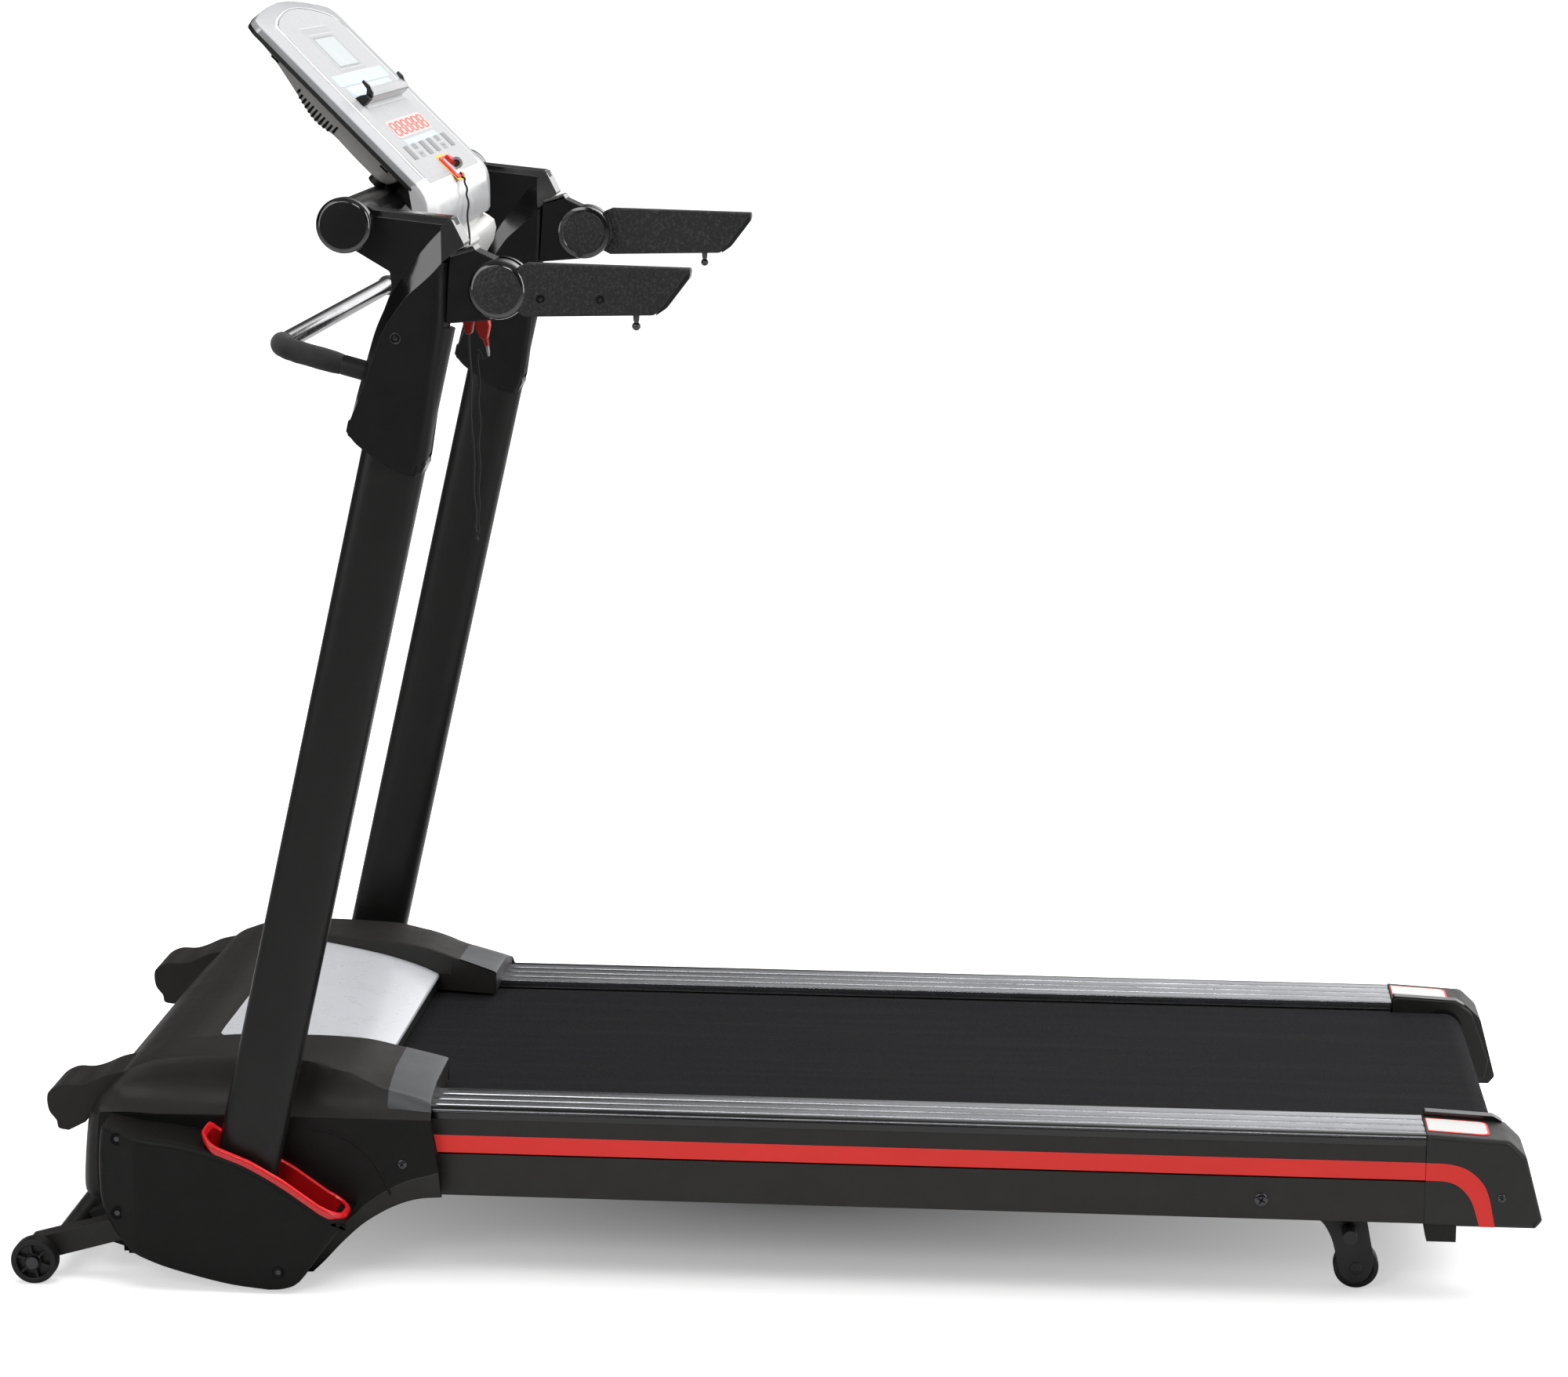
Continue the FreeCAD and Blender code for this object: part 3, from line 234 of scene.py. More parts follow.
def make_foam():
    """Closed-cell foam sleeve: open pores, faint sheen, slightly greyed where hands hold it."""
    shade = new_shader("sleeve_foam")
    pores = shade.cells(900.0)
    base = shade.mix(shade.ramp(pores, 0.0, 0.5), (0.008, 0.008, 0.008), (0.024, 0.024, 0.025))
    base = shade.mix(shade.ramp(shade.noise(22.0, 4.0), 0.45, 0.7, 0.0, 0.4), base, (0.040, 0.039, 0.038))
    shade.set("Base Color", base)
    shade.set("Roughness", shade.ramp(shade.noise(40.0), 0.3, 0.7, 0.72, 0.9))
    shade.set("Sheen Weight", 0.25)
    shade.set("Sheen Roughness", 0.5)
    normal = shade.bump(shade.noise(95.0, 3.0), 0.6, 0.5)
    shade.set("Normal", shade.bump(pores, 0.2, 0.9, normal))
    return shade.owner


def make_metal(name, colour, rough, streak, grain=0.25, depth=0.008, spread=0.08):
    """Bare or plated metal with drawn, brushed or turned lines and hazy patches."""
    shade = new_shader(name)
    lines = shade.noise(MM / grain, 3.0, 0.6, shade.stretched(streak))
    haze = shade.noise(16.0, 5.0, 0.6)
    base = shade.mix(shade.ramp(lines, 0.3, 0.7), tint(colour, 0.86), tint(colour, 1.08))
    base = shade.mix(shade.ramp(haze, 0.45, 0.75, 0.0, 0.25), base, tint(colour, 0.72))
    shade.set("Base Color", base)
    shade.set("Metallic", 1.0)
    roughness = shade.maths("ADD", shade.ramp(haze, 0.3, 0.7, -spread / 2, spread), rough)
    shade.set("Roughness", shade.maths("ADD", roughness, shade.ramp(lines, 0.2, 0.8, -0.05, 0.05)))
    shade.set("Anisotropic", 0.5)
    shade.set("Normal", shade.bump(lines, depth, 1.0, shade.rounded(0.5)))
    return shade.owner


def make_film(name, colour, rough=0.32, ticks=None, glow=0.0):
    """Printed membrane or window film: dot screen, faint smears, optional printed tick marks."""
    shade = new_shader(name)
    dots = shade.cells(1500.0)
    smear = shade.noise(26.0, 4.0, 0.6)
    base = shade.mix(shade.ramp(dots, 0.05, 0.3), tint(colour, 0.99), colour)
    base = shade.mix(shade.ramp(smear, 0.4, 0.7, 0.0, 0.2), base, tint(colour, 1.04))
    if ticks:
        along = shade.ramp(shade.waves(ticks[0], "Y"), 0.66, 0.7)
        base = shade.mix(along, base, ticks[1])
    shade.set("Base Color", base)
    shade.set("Roughness", shade.ramp(smear, 0.3, 0.7, rough - 0.08, rough + 0.08))
    shade.set("Specular IOR Level", 0.4)
    if glow:
        shade.set("Emission Color", colour)
        shade.set("Emission Strength", glow)
    shade.set("Normal", shade.bump(shade.noise(45.0), 0.02, 0.2))
    return shade.owner


def make_board():
    """Deck board: pressed wood fibre with a dark waxed face."""
    shade = new_shader("deck_fibre")
    fibres = shade.noise(300.0, 6.0, 0.7, shade.stretched((0.15, 1.0, 1.0)))
    wood = shade.mix(fibres, (0.10, 0.062, 0.034), (0.21, 0.14, 0.085))
    up = shade.node("ShaderNodeSeparateXYZ")
    shade.plug(up.inputs[0], shade.facing())
    waxed = shade.ramp(up.outputs["Z"], 0.6, 0.8)
    base = shade.mix(waxed, wood, (0.012, 0.012, 0.012))
    shade.set("Base Color", base)
    shade.set("Roughness", shade.ramp(fibres, 0.3, 0.7, 0.55, 0.8))
    shade.set("Normal", shade.bump(fibres, 0.06))
    return shade.owner


M = {
    "hood": coated("hood_texture", (0.023, 0.021, 0.019), 0.47, grain=0.9, depth=0.05, cellular=True,
        specular=0.3, round_edge=1.2),
    # lighter copy of the hood plastic for the rear facet: a painted highlight
    "facet": coated("facet_painted_highlight", (0.075, 0.078, 0.082), 0.36, depth=0.02, cellular=True, wear_and_highlight=0.3,
        specular=0.5, wave=0.03),
    "cover": coated("cover_texture", (0.008, 0.0076, 0.007), 0.46, depth=0.045, cellular=True, wear_and_highlight=0.3,
        specular=0.2, round_edge=1.0),
    "shroud": coated("shroud_texture", (0.0045, 0.0045, 0.005), 0.42, grain=0.7, cellular=True,
        specular=0.24),
    "gloss": coated("gloss_plastic", (0.007, 0.007, 0.0075), 0.14, grain=3.0, depth=0.006, wear_and_highlight=0.2,
        specular=0.6, coat=0.8, wave=0.03),
    "lacquer": coated("bar_lacquer", (0.010, 0.0095, 0.0095), 0.16, metal=0.1, grain=2.0, depth=0.006,
        wear_and_highlight=0.2, specular=0.7, coat=0.8, wave=0.02),
    "paint": coated("upright_paint", (0.0125, 0.0122, 0.0118), 0.36, grain=1.6, specular=0.3),
    "frame": coated("frame_powder", (0.026, 0.0245, 0.0225), 0.5, grain=1.2, depth=0.05, wear_and_highlight=0.35,
        round_edge=1.5),
    "channel": coated("channel_paint", (0.023, 0.0215, 0.0195), 0.48, grain=1.2, wear_and_highlight=0.2),
    "shoulder": coated("shoulder_gloss", (0.006, 0.006, 0.006), 0.2, grain=2.0, depth=0.012, wear_and_highlight=0.2,
        coat=0.3),
    "cap": coated("end_cap_texture", (0.021, 0.0205, 0.019), 0.43, depth=0.045, cellular=True, wear_and_highlight=0.35,
        round_edge=1.2),
    "ridge": coated("ridge_gloss", (0.012, 0.012, 0.012), 0.22, grain=2.0, depth=0.012, wear_and_highlight=0.3, coat=0.3),
    # the red film's glow is painted light: emission that brightens it without a lamp
    "red_film": coated("red_film", (0.96, 0.050, 0.044), 0.42, grain=1.0, depth=0.012, blotch=0.05,
        wear_and_highlight=0.2, worn_and_lit=(1.0, 0.2, 0.17), glow=0.3),
    # the slot lip's glow is painted light
    "red": coated("red_gloss", (0.92, 0.016, 0.022), 0.24, grain=2.4, depth=0.012, blotch=0.07, wear_and_highlight=0.35,
        worn_and_lit=(1.0, 0.10, 0.10), coat=0.5, specular=0.5, glow=0.2),
    # darker copy of the red for the slot walls: painted shade
    "shaded_red": coated("shaded_red_wall", (0.72, 0.006, 0.010), 0.35, grain=2.0, depth=0.02, wear_and_highlight=0.1),
    "key_red": coated("key_red", (0.76, 0.03, 0.018), 0.33, grain=1.0, depth=0.02, blotch=0.08, wear_and_highlight=0.4,
        worn_and_lit=(1.0, 0.35, 0.28)),
    "yellow": coated("yellow_label", (0.93, 0.55, 0.05), 0.45, depth=0.01, blotch=0.06, wear_and_highlight=0.1),
    "silver": coated("silver_lacquer", (0.74, 0.75, 0.785), 0.30, metal=0.15, grain=1.2, depth=0.001,
        blotch=0.03, wear_and_highlight=0.1, worn_and_lit=(0.9, 0.9, 0.93), coat=0.3, flake=0.03, wave=0.01),
    "rim": coated("console_silver", (0.50, 0.51, 0.53), 0.34, metal=0.3, grain=0.5, depth=0.006,
        blotch=0.05, wear_and_highlight=0.2, worn_and_lit=(0.85, 0.85, 0.88), coat=0.3, flake=0.15, round_edge=1.2, wave=0.02),
    "nose": coated("nose_white", (0.92, 0.925, 0.94), 0.22, depth=0.008, blotch=0.03, wear_and_highlight=0.1,
        worn_and_lit=(0.95, 0.95, 0.97), coat=0.5, wave=0.02),
    "shell": coated("shell_grey", (0.60, 0.595, 0.575), 0.45, cellular=True, blotch=0.06, wear_and_highlight=0.2,
        worn_and_lit=(0.7, 0.7, 0.7)),
    "apron": coated("apron_pale", (0.80, 0.80, 0.78), 0.38, depth=0.02, blotch=0.05, wear_and_highlight=0.2,
        worn_and_lit=(0.85, 0.85, 0.85)),
    "gasket": coated("gasket_rubber", (0.006, 0.006, 0.006), 0.55, grain=0.6, wear_and_highlight=0.0),
    # near-black material put in holes, slots and vents: painted shade
    "dark": coated("painted_recess_shade", (0.004, 0.004, 0.004), 0.7, grain=0.6, wear_and_highlight=0.0, specular=0.15),
    "rubber": coated("moulded_rubber", (0.020, 0.0195, 0.019), 0.62, grain=0.7, depth=0.06, cellular=True,
        wear_and_highlight=0.15, specular=0.3),
    "tyre": coated("wheel_tyre", (0.010, 0.010, 0.010), 0.5, grain=0.7, depth=0.05, cellular=True,
        wear_and_highlight=0.35),
    "spoke": coated("wheel_web", (0.010, 0.010, 0.010), 0.35, grain=0.9, wear_and_highlight=0.4),
    "bracket": coated("bracket_powder", (0.024, 0.024, 0.027), 0.46, grain=1.0, depth=0.05, wear_and_highlight=0.4,
        round_edge=0.8),
    "motor": coated("motor_enamel", (0.03, 0.034, 0.04), 0.35, grain=1.5, wear_and_highlight=0.3),
    "pcb": coated("board_lacquer", (0.01, 0.10, 0.035), 0.35, grain=0.7, depth=0.02, wear_and_highlight=0.1,
        worn_and_lit=(0.5, 0.4, 0.15)),
    "cord": coated("cord_weave", (0.012, 0.012, 0.013), 0.6, grain=0.5, depth=0.1, cellular=True, wear_and_highlight=0.0),
    "label": coated("label_film", (0.72, 0.72, 0.70), 0.35, grain=0.9, depth=0.006, blotch=0.03, wear_and_highlight=0.1,
        worn_and_lit=(0.9, 0.9, 0.9)),
    "key_grey": coated("key_grey", (0.25, 0.255, 0.265), 0.4, grain=0.7, depth=0.02, blotch=0.05, wear_and_highlight=0.4,
        worn_and_lit=(0.6, 0.6, 0.62)),
    "belt": make_belt(),
    "grip": make_grip(),
    "foam": make_foam(),
    "board": make_board(),
    "chrome": make_metal("chrome_plate", (0.72, 0.72, 0.74), 0.10, (1.0, 0.05, 1.0), 0.8, 0.003, 0.06),
    "steel": make_metal("zinc_steel", (0.42, 0.42, 0.43), 0.30, (1.0, 1.0, 1.0), 0.5, 0.02),
    "screw": make_metal("black_oxide_screw", (0.07, 0.07, 0.075), 0.22, (1.0, 1.0, 1.0), 0.6, 0.02),
    "rail": make_metal("rail_anodised", (0.52, 0.525, 0.55), 0.25, (0.012, 1.0, 1.0), 0.5, 0.004, 0.06),
    "overlay": make_film("panel_overlay", (0.46, 0.465, 0.475)),
    "overlay_dark": make_film("panel_patch", (0.41, 0.42, 0.43)),
    "blue_pale": make_film("pale_blue_film", (0.60, 0.70, 0.80), 0.25),
    "ledge": coated("ledge_silver", (0.50, 0.505, 0.515), 0.3, metal=0.2, grain=0.5, depth=0.006,
        blotch=0.06, wear_and_highlight=0.4, worn_and_lit=(0.8, 0.8, 0.82), coat=0.3, flake=0.3),
    "overlay_line": make_film("panel_outline", (0.62, 0.63, 0.64)),
    "window": make_film("window_grey", (0.30, 0.31, 0.32), 0.25),
    "lcd": make_film("lcd_glass", (0.56, 0.60, 0.615), 0.12),
    # the blue film's glow is painted light
    "blue": make_film("blue_film", (0.40, 0.60, 0.80), 0.25, ticks=(28.0, (0.80, 0.88, 0.95)), glow=0.08),
    "digit_back": make_film("digit_window", (0.72, 0.60, 0.58), 0.2),
    "digit": make_film("digit_segment", (0.85, 0.12, 0.09), 0.3, glow=0.25),
}


# ------------------------------------------------------------------------------------ shapes
def fillet(points, radius, steps=5):
    """A closed outline with every corner rounded; radius may be one number or one per corner."""
    count = len(points)
    radii = radius if isinstance(radius, (list, tuple)) else [radius] * count
    result = []
    for i in range(count):
        here = Vector(points[i])
        before, after = Vector(points[i - 1]) - here, Vector(points[(i + 1) % count]) - here
        half = before.angle(after) / 2
        if radii[i] <= 0 or half > 1.55:
            result.append(tuple(here))
            continue
        reach = min(radii[i] / math.tan(half), before.length * 0.49, after.length * 0.49)
        start, end = here + before.normalized() * reach, here + after.normalized() * reach
        for k in range(steps + 1):
            t = k / steps
            point = start * (1 - t) ** 2 + here * 2 * t * (1 - t) + end * t * t
            result.append(tuple(point))
    return result


def smooth_line(points, steps=6):
    """A flowing open line through all the points."""
    flat = [Vector(p) for p in points]
    flat = [flat[0] * 2 - flat[1]] + flat + [flat[-1] * 2 - flat[-2]]
    result = []
    for i in range(1, len(flat) - 2):
        a, b, c, d = flat[i - 1:i + 3]
        for k in range(steps):
            t = k / steps
            slope, bend, twist = c - a, a * 2 - b * 5 + c * 4 - d, b * 3 - a - c * 3 + d
            result.append((b * 2 + slope * t + bend * t * t + twist * t ** 3) / 2)
    return [tuple(p) for p in result + [flat[-2]]]


def between(a, b, share):
    """The line a share of the way from line a to line b."""
    return [(p[0] + (q[0] - p[0]) * share, p[1] + (q[1] - p[1]) * share) for p, q in zip(a, b)]


def rectangle(x1, x2, y1, y2, radius):
    return fillet([(x1, y1), (x2, y1), (x2, y2), (x1, y2)], radius)


def grown(points, distance):
    """A closed anticlockwise outline moved outwards."""
    flat = [Vector(p[:2]) for p in points]
    count = len(flat)
    moved = []
    for i in range(count):
        before, after = flat[i] - flat[i - 1], flat[(i + 1) % count] - flat[i]
        before.normalize()
        after.normalize()
        normal = Vector((before.y + after.y, -before.x - after.x))
        if normal.length < 1e-6:
            normal = Vector((before.y, -before.x))
        normal.normalize()
        reach = distance / max(0.5, normal.dot(Vector((before.y, -before.x))))
        moved.append(tuple(flat[i] + normal * reach))
    return moved


def ordered(points):
    """The outline, turned anticlockwise."""
    area = sum(points[i - 1][0] * points[i][1] - points[i][0] * points[i - 1][1] for i in range(len(points)))
    return list(points) if area > 0 else list(points)[::-1]


def loft(rings, closed=True, caps=(True, True)):
    """Skin over rings of points; closed joins each ring's ends."""
    part = bmesh.new()
    rows = [[part.verts.new(p) for p in ring] for ring in rings]
    width = len(rows[0])
    for a, b in zip(rows, rows[1:]):
        for i in range(width if closed else width - 1):
            j = (i + 1) % width
            part.faces.new((a[i], a[j], b[j], b[i]))
    if closed and caps[0]:
        part.faces.new(rows[0][::-1])
    if closed and caps[1]:
        part.faces.new(rows[-1])
    return part


# how far in and how far up a quarter circle has gone, in four steps
QUARTER_ROUND = [(1 - math.cos(k * math.pi / 8), math.sin(k * math.pi / 8)) for k in range(1, 5)]


def soften(part, width, segments=3, angle=30.0):
    """Round the edges that turn by more than an angle."""
    part.normal_update()
    sharp = [e for e in part.edges if len(e.link_faces) == 2 and e.calc_face_angle() > math.radians(angle)]
    if sharp and width:
        bmesh.ops.bevel(part, geom=sharp, offset=width, segments=segments, profile=0.5, affect="EDGES",
            clamp_overlap=True)
    return part


def slab(outline, low, high, bevel=0.0, segments=3):
    """An XZ outline between two Y positions."""
    points = ordered(outline)
    rings = [[(x, high, z) for x, z in points], [(x, low, z) for x, z in points]]
    return soften(loft(rings), bevel, segments)


def plate(outline, low, high, bevel=0.0, segments=3):
    """An XY outline between two heights."""
    points = ordered(outline)
    rings = [[(x, y, low) for x, y in points], [(x, y, high) for x, y in points]]
    return soften(loft(rings), bevel, segments)


def bar(outline, low, high, bevel=0.0, segments=3):
    """A YZ outline between two X positions."""
    points = ordered(outline)
    rings = [[(low, y, z) for y, z in points], [(high, y, z) for y, z in points]]
    return soften(loft(rings), bevel, segments)


def block(low, high, bevel=1.0, segments=3):
    corners = [(low[0], low[1]), (high[0], low[1]), (high[0], high[1]), (low[0], high[1])]
    return plate(corners, low[2], high[2], bevel, segments)


def lathe(profile, centre, sides=48, direction=1):
    """A profile of (radius, along) turned about a line parallel to Y; direction -1 turns along round."""
    rings = []
    for k in range(sides):
        a = 2 * math.pi * k / sides
        rings.append([(centre[0] + r * math.cos(a), centre[1] + direction * t, centre[2] + r * math.sin(a))
            for r, t in profile])
    rings.append(rings[0])
    part = loft(rings, closed=False)
    bmesh.ops.remove_doubles(part, verts=part.verts, dist=1e-4)
    return part


def disc_profile(*points):
    """A lathe profile that starts and ends on the same point."""
    return [*points, points[0]]


def tube(path, radius, sides=16):
    """A round bar along a path; radius may be one number or one per point."""
    points = [Vector(p) for p in path]
    radii = radius if isinstance(radius, (list, tuple)) else [radius] * len(points)
    rings, across = [], None
    for i, here in enumerate(points):
        along = (points[min(i + 1, len(points) - 1)] - points[max(i - 1, 0)]).normalized()
        if across is None:
            across = along.orthogonal().normalized()
        across = (across - along * across.dot(along)).normalized()
        other = along.cross(across)
        rings.append([here + (across * math.cos(a) + other * math.sin(a)) * radii[i]
            for a in (2 * math.pi * k / sides for k in range(sides))])
    return loft(rings)


class Piece:
    """One visible object: shapes in millimetres from the pivot axis, each with its own material.
    While side is -1, an added shape is mirrored to the left. place moves shapes from the console plane."""

    def __init__(self, name, body, node, slot, side=1, place=None):
        self.name, self.body, self.node, self.slot = name, body, node, slot
        self.side, self.place = side, place
        self.mesh = bmesh.new()
        self.used = []

    def sides(self):
        """Go through both sides, drawing for the right each time."""
        for side in SIDES.values():
            self.side = side
            yield side

    def add(self, part, material):
        if material not in self.used:
            self.used.append(material)
        index = self.used.index(material)
        if self.side < 0:
            part.transform(Matrix.Scale(-1, 4, (0, 1, 0)))
            part.normal_update()
        if self.place is not None:
            part.transform(self.place)
        bmesh.ops.recalc_face_normals(part, faces=part.faces)
        for face in part.faces:
            face.material_index = index
            face.smooth = True
        for edge in part.edges:
            if len(edge.link_faces) == 2 and edge.calc_face_angle() > SHARP_ANGLE:
                edge.smooth = False
        holder = bpy.data.meshes.new("holder")
        part.to_mesh(holder)
        part.free()
        self.mesh.from_mesh(holder)
        bpy.data.meshes.remove(holder)

    def done(self):
        self.mesh.transform(Matrix.Translation((PIVOT.x, 0, 0)) @ Matrix.Scale(1 / MM, 4))
        mesh = bpy.data.meshes.new(self.name)
        self.mesh.to_mesh(mesh)
        self.mesh.free()
        for key in self.used:
            mesh.materials.append(M[key])
        made = bpy.data.objects.new(self.name, mesh)
        bpy.context.scene.collection.objects.link(made)
        made.modifiers.new("Weighted normals", "WEIGHTED_NORMAL").keep_sharp = True
        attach(made, self.body)
        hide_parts(self.node)


def pair(name, body, node, slot):
    """A left and a right piece, both drawn as the right one; {} in the names stands for left or right."""
    for word, side in SIDES.items():
        piece = Piece(name.format(word), body.format(word), node.format(word), slot, side)
        yield piece
        piece.done()


def screw(piece, x, y, z, radius):
    """Pan head with a cross recess drawn as two dark bars of painted shade, facing outwards from a point on
    the surface.
    """
    rise = radius * 0.34
    profile = [(radius, -1), (radius, rise * 0.35), (radius * 0.86, rise * 0.8), (radius * 0.5, rise),
        (0.0, rise)]
    piece.add(lathe(profile, (x, y, z), 28), "screw")
    # the cross recess is two dark bars laid on the head: painted shade
    half, slit = radius * 0.52, radius * 0.11
    for turn in (0.5, 0.5 + math.pi / 2):
        cross = block((-half, rise - 0.5, -slit), (half, rise + 0.12, slit), 0.08, 1)
        cross.transform(Matrix.Translation((x, y, z)) @ Matrix.Rotation(turn, 4, "Y"))
        piece.add(cross, "dark")


def socket(piece, x, y, z, radius, rim="gloss"):
    """Sunk screw hole: a thin rim round a flat disc in painted shade that stands for the pocket, with a small
    screw head at its middle.
    """
    ring = [(radius * 1.18, -0.6), (radius * 1.18, 0.25), (radius * 1.06, 0.4), (radius * 0.94, 0.2),
        (radius * 0.92, -0.6)]
    piece.add(lathe(ring, (x, y, z), 32), rim)
    # flat dark disc: painted shade standing for the depth of the hole
    piece.add(lathe([(radius * 0.95, 0.05), (0.0, 0.05)], (x, y, z), 32), "dark")
    piece.add(lathe([(radius * 0.5, 0.0), (radius * 0.45, 0.18), (0.0, 0.22)], (x, y, z), 16), "screw")


# ------------------------------------------------------------------------------------ deck
def walking_belt():
    piece = Piece("belt_surface", "deck_base", "walking_belt", "belt_rubber")
    half, thick = BELT_HIGH.y, 2.4
    radius = (BELT_HIGH.z - BELT_LOW.z) / 2
    middle = (BELT_HIGH.z + BELT_LOW.z) / 2
    front, rear = BELT_LOW.x + radius, BELT_HIGH.x - radius

    def loop(r):
        turn = [math.pi * k / 20 for k in range(21)]
        back = [(rear + r * math.sin(a), middle + r * math.cos(a)) for a in turn]
        nose = [(front - r * math.sin(a), middle - r * math.cos(a)) for a in turn]
        return back + nose
    across = [(-half, radius - thick), (-half, radius - 0.8), (-half + 1.2, radius), (half - 1.2, radius),
        (half, radius - 0.8), (half, radius - thick), (-half, radius - thick)]
    rings = [[(x, y, z) for x, z in loop(r)] for y, r in across]
    piece.add(loft(rings, caps=(False, False)), "belt")
    piece.done()


def foot_rails():
    """Extruded aluminium rails: four broad crowned ribs with three grooves between them."""
    inner, outer, top = RAIL_LOW.y, RAIL_HIGH.y, RAIL_TOP
    for piece in pair("rail_{}", "deck_base", "foot_rail_{}", "rail_aluminium"):
        outline = [(inner, top - 11), (inner, top - 2.4), (inner + 0.9, top - 1.2)]
        width, groove = 15.4, 5.0
        for k in range(4):
            start = inner + 1.6 + k * (width + groove - 0.2)
            for j in range(9):
                t = j / 8
                crown = 1.5 * (1 - (2 * t - 1) ** 2)
                outline.append((start + width * t, top - 1.5 + crown - (0.35 if j in (0, 8) else 0)))
            if k < 3:
                outline += [(start + width + 0.7, top - 3.6), (start + width + groove - 0.9, top - 3.6)]
        outline += [(outer - 1.0, top - 1.4), (outer, top - 2.4), (outer, top - 6), (inner + 3, top - 6),
            (inner + 3, top - 11)]
        piece.add(bar(outline, RAIL_FRONT, RAIL_REAR, 0.2, 1), "rail")


def channels_and_trim():
    """Painted channel and glossy shoulder along each rail; red film along it, curving down over the caps."""
    top, face, joint = RAIL_TOP, FACE_Y, CAP_JOINT
    low, high = top - 51, top - 31
    piece = Piece("channels", "deck_base", "side_channels", "channel_paint")
    film = Piece("trim", "deck_base", "trim_decals", "red_trim")
    for side in SIDES.values():
        piece.side = film.side = side
        wall = [(face, low), (face, top - 12.5), (face - 1.5, top - 12), (face - 3, top - 12),
            (face - 3, low)]
        piece.add(bar(wall, RAIL_FRONT, RAIL_REAR, 0.3, 2), "channel")
        lip = fillet([(face + 0.3, top - 12.4), (face + 0.3, top - 4.2), (face - 3.5, top - 0.2),
            (face - 9, top + 0.1), (face - 9, top - 2), (face - 4, top - 4), (face - 2.2, top - 12.4)],
            [0.4, 3.0, 3.0, 0.3, 0.3, 1.0, 0.3])
        piece.add(bar(lip, RAIL_FRONT, RAIL_REAR), "shoulder")
        film.add(block((RAIL_FRONT, face + 0.02, low), (RAIL_REAR, face + 0.75, high), 0.25, 2), "red_film")
        upper = smooth_line([(joint, high), (joint + 24, high - 0.6), (joint + 44, high - 6),
            (joint + 60, high - 19), (joint + 69, high - 36), (joint + 77, high - 71.5)])
        lower = smooth_line([(joint, high - 20), (joint + 20, high - 20.4), (joint + 33, high - 24),
            (joint + 44, high - 33), (joint + 52, high - 46), (joint + 60, high - 71.5)])
        film.add(slab(upper + lower[::-1], face + 1.02, face + 1.72, 0.2, 2), "red_film")
        for grow, lift, key in ((0.0, 0.0, "red_film"), (-2.2, 0.25, "label")):
            outline = rectangle(joint + 2 - grow * 0.4, joint + 70 + grow, 246 - grow, 293 + grow,
                [0.5, 9, 9, 0.5])
            sheet = plate(outline, 0, 0.35, 0.1, 1)
            for vertex in sheet.verts:
                vertex.co.z += top + 1.25 + lift - (vertex.co.x - joint) * 0.054
            film.add(sheet, key)
    piece.done()
    film.done()


def end_caps():
    """Moulded caps with rounded outer edges, a lip beside the belt and a glossy ridge on the lip."""
    joint, rear, top = CAP_JOINT, cad_box("end_cap_left")[1].x, RAIL_TOP
    soft = 5.5
    flat = FACE_Y + 1 - soft
    for piece in pair("rear_cap_{}", "deck_base", "end_cap_{}", "cap_plastic"):
        outline = ordered(fillet([(joint, 88), (joint, top + 1), (joint + 90, top - 4),
            (joint + 109, top - 22), (rear - 1.5, 97), (rear - 9, 88)], [0.3, 0.3, 12, 14, 5, 3]))
        inset = grown(outline, -soft)
        rings = [[(x, 234, z) for x, z in outline], [(x, flat, z) for x, z in outline]]
        for drop, rise in QUARTER_ROUND:
            rings.append([(a[0] + (b[0] - a[0]) * drop if a[0] > joint + 1 else a[0], flat + soft * rise,
                a[1] + (b[1] - a[1]) * drop) for a, b in zip(outline, inset)])
        piece.add(loft(rings[::-1]), "cap")
        lip = fillet([(joint + 1, 150), (joint + 1, top + 5), (joint + 76, top + 1.6),
            (joint + 97, top - 12), (rear - 11, 120), (rear - 15, 96), (joint + 68, 96), (joint + 58, 150)],
            [2, 6, 14, 22, 10, 4, 6, 10])
        piece.add(slab(lip, 224, 235, 2.6, 4), "cap")
        ridge = fillet([(joint + 1, top + 0.5), (joint + 1, top + 6.6), (joint + 78, top + 2.8),
            (joint + 90, top - 4)], [1, 3, 5, 1])
        piece.add(slab(ridge, 226, 239, 2.4, 4), "ridge")
        # dark disc for a hole in the lip: painted shade
        piece.add(lathe([(24, 0), (22, 0.8), (19, 0.5), (0, 0.4)], (joint + 61.5, 224, 160), 40, -1), "dark")


def frame_details():
    """Materials for the CAD pieces that keep their shape."""
    for key, nodes in {"frame": ("main_frame", "front_stand"),
            "steel": ("front_roller", "rear_roller", "roller_axles", "motor_shaft"),
            "rubber": ("rubber_mounts", "drive_belt"), "bracket": ("incline_pin_left", "incline_pin_right"),
            "board": ("running_deck",), "motor": ("motor_housing",), "pcb": ("control_board",),
            "gasket": ("power_inlet",), "key_red": ("power_switch",), "screw": ("pivot_bolts",),
            "chrome": ("lift_handle",)}.items():
        for node in nodes:
            data = frame["nodes"][node].data
            data.materials.clear()
            data.materials.append(M[key])


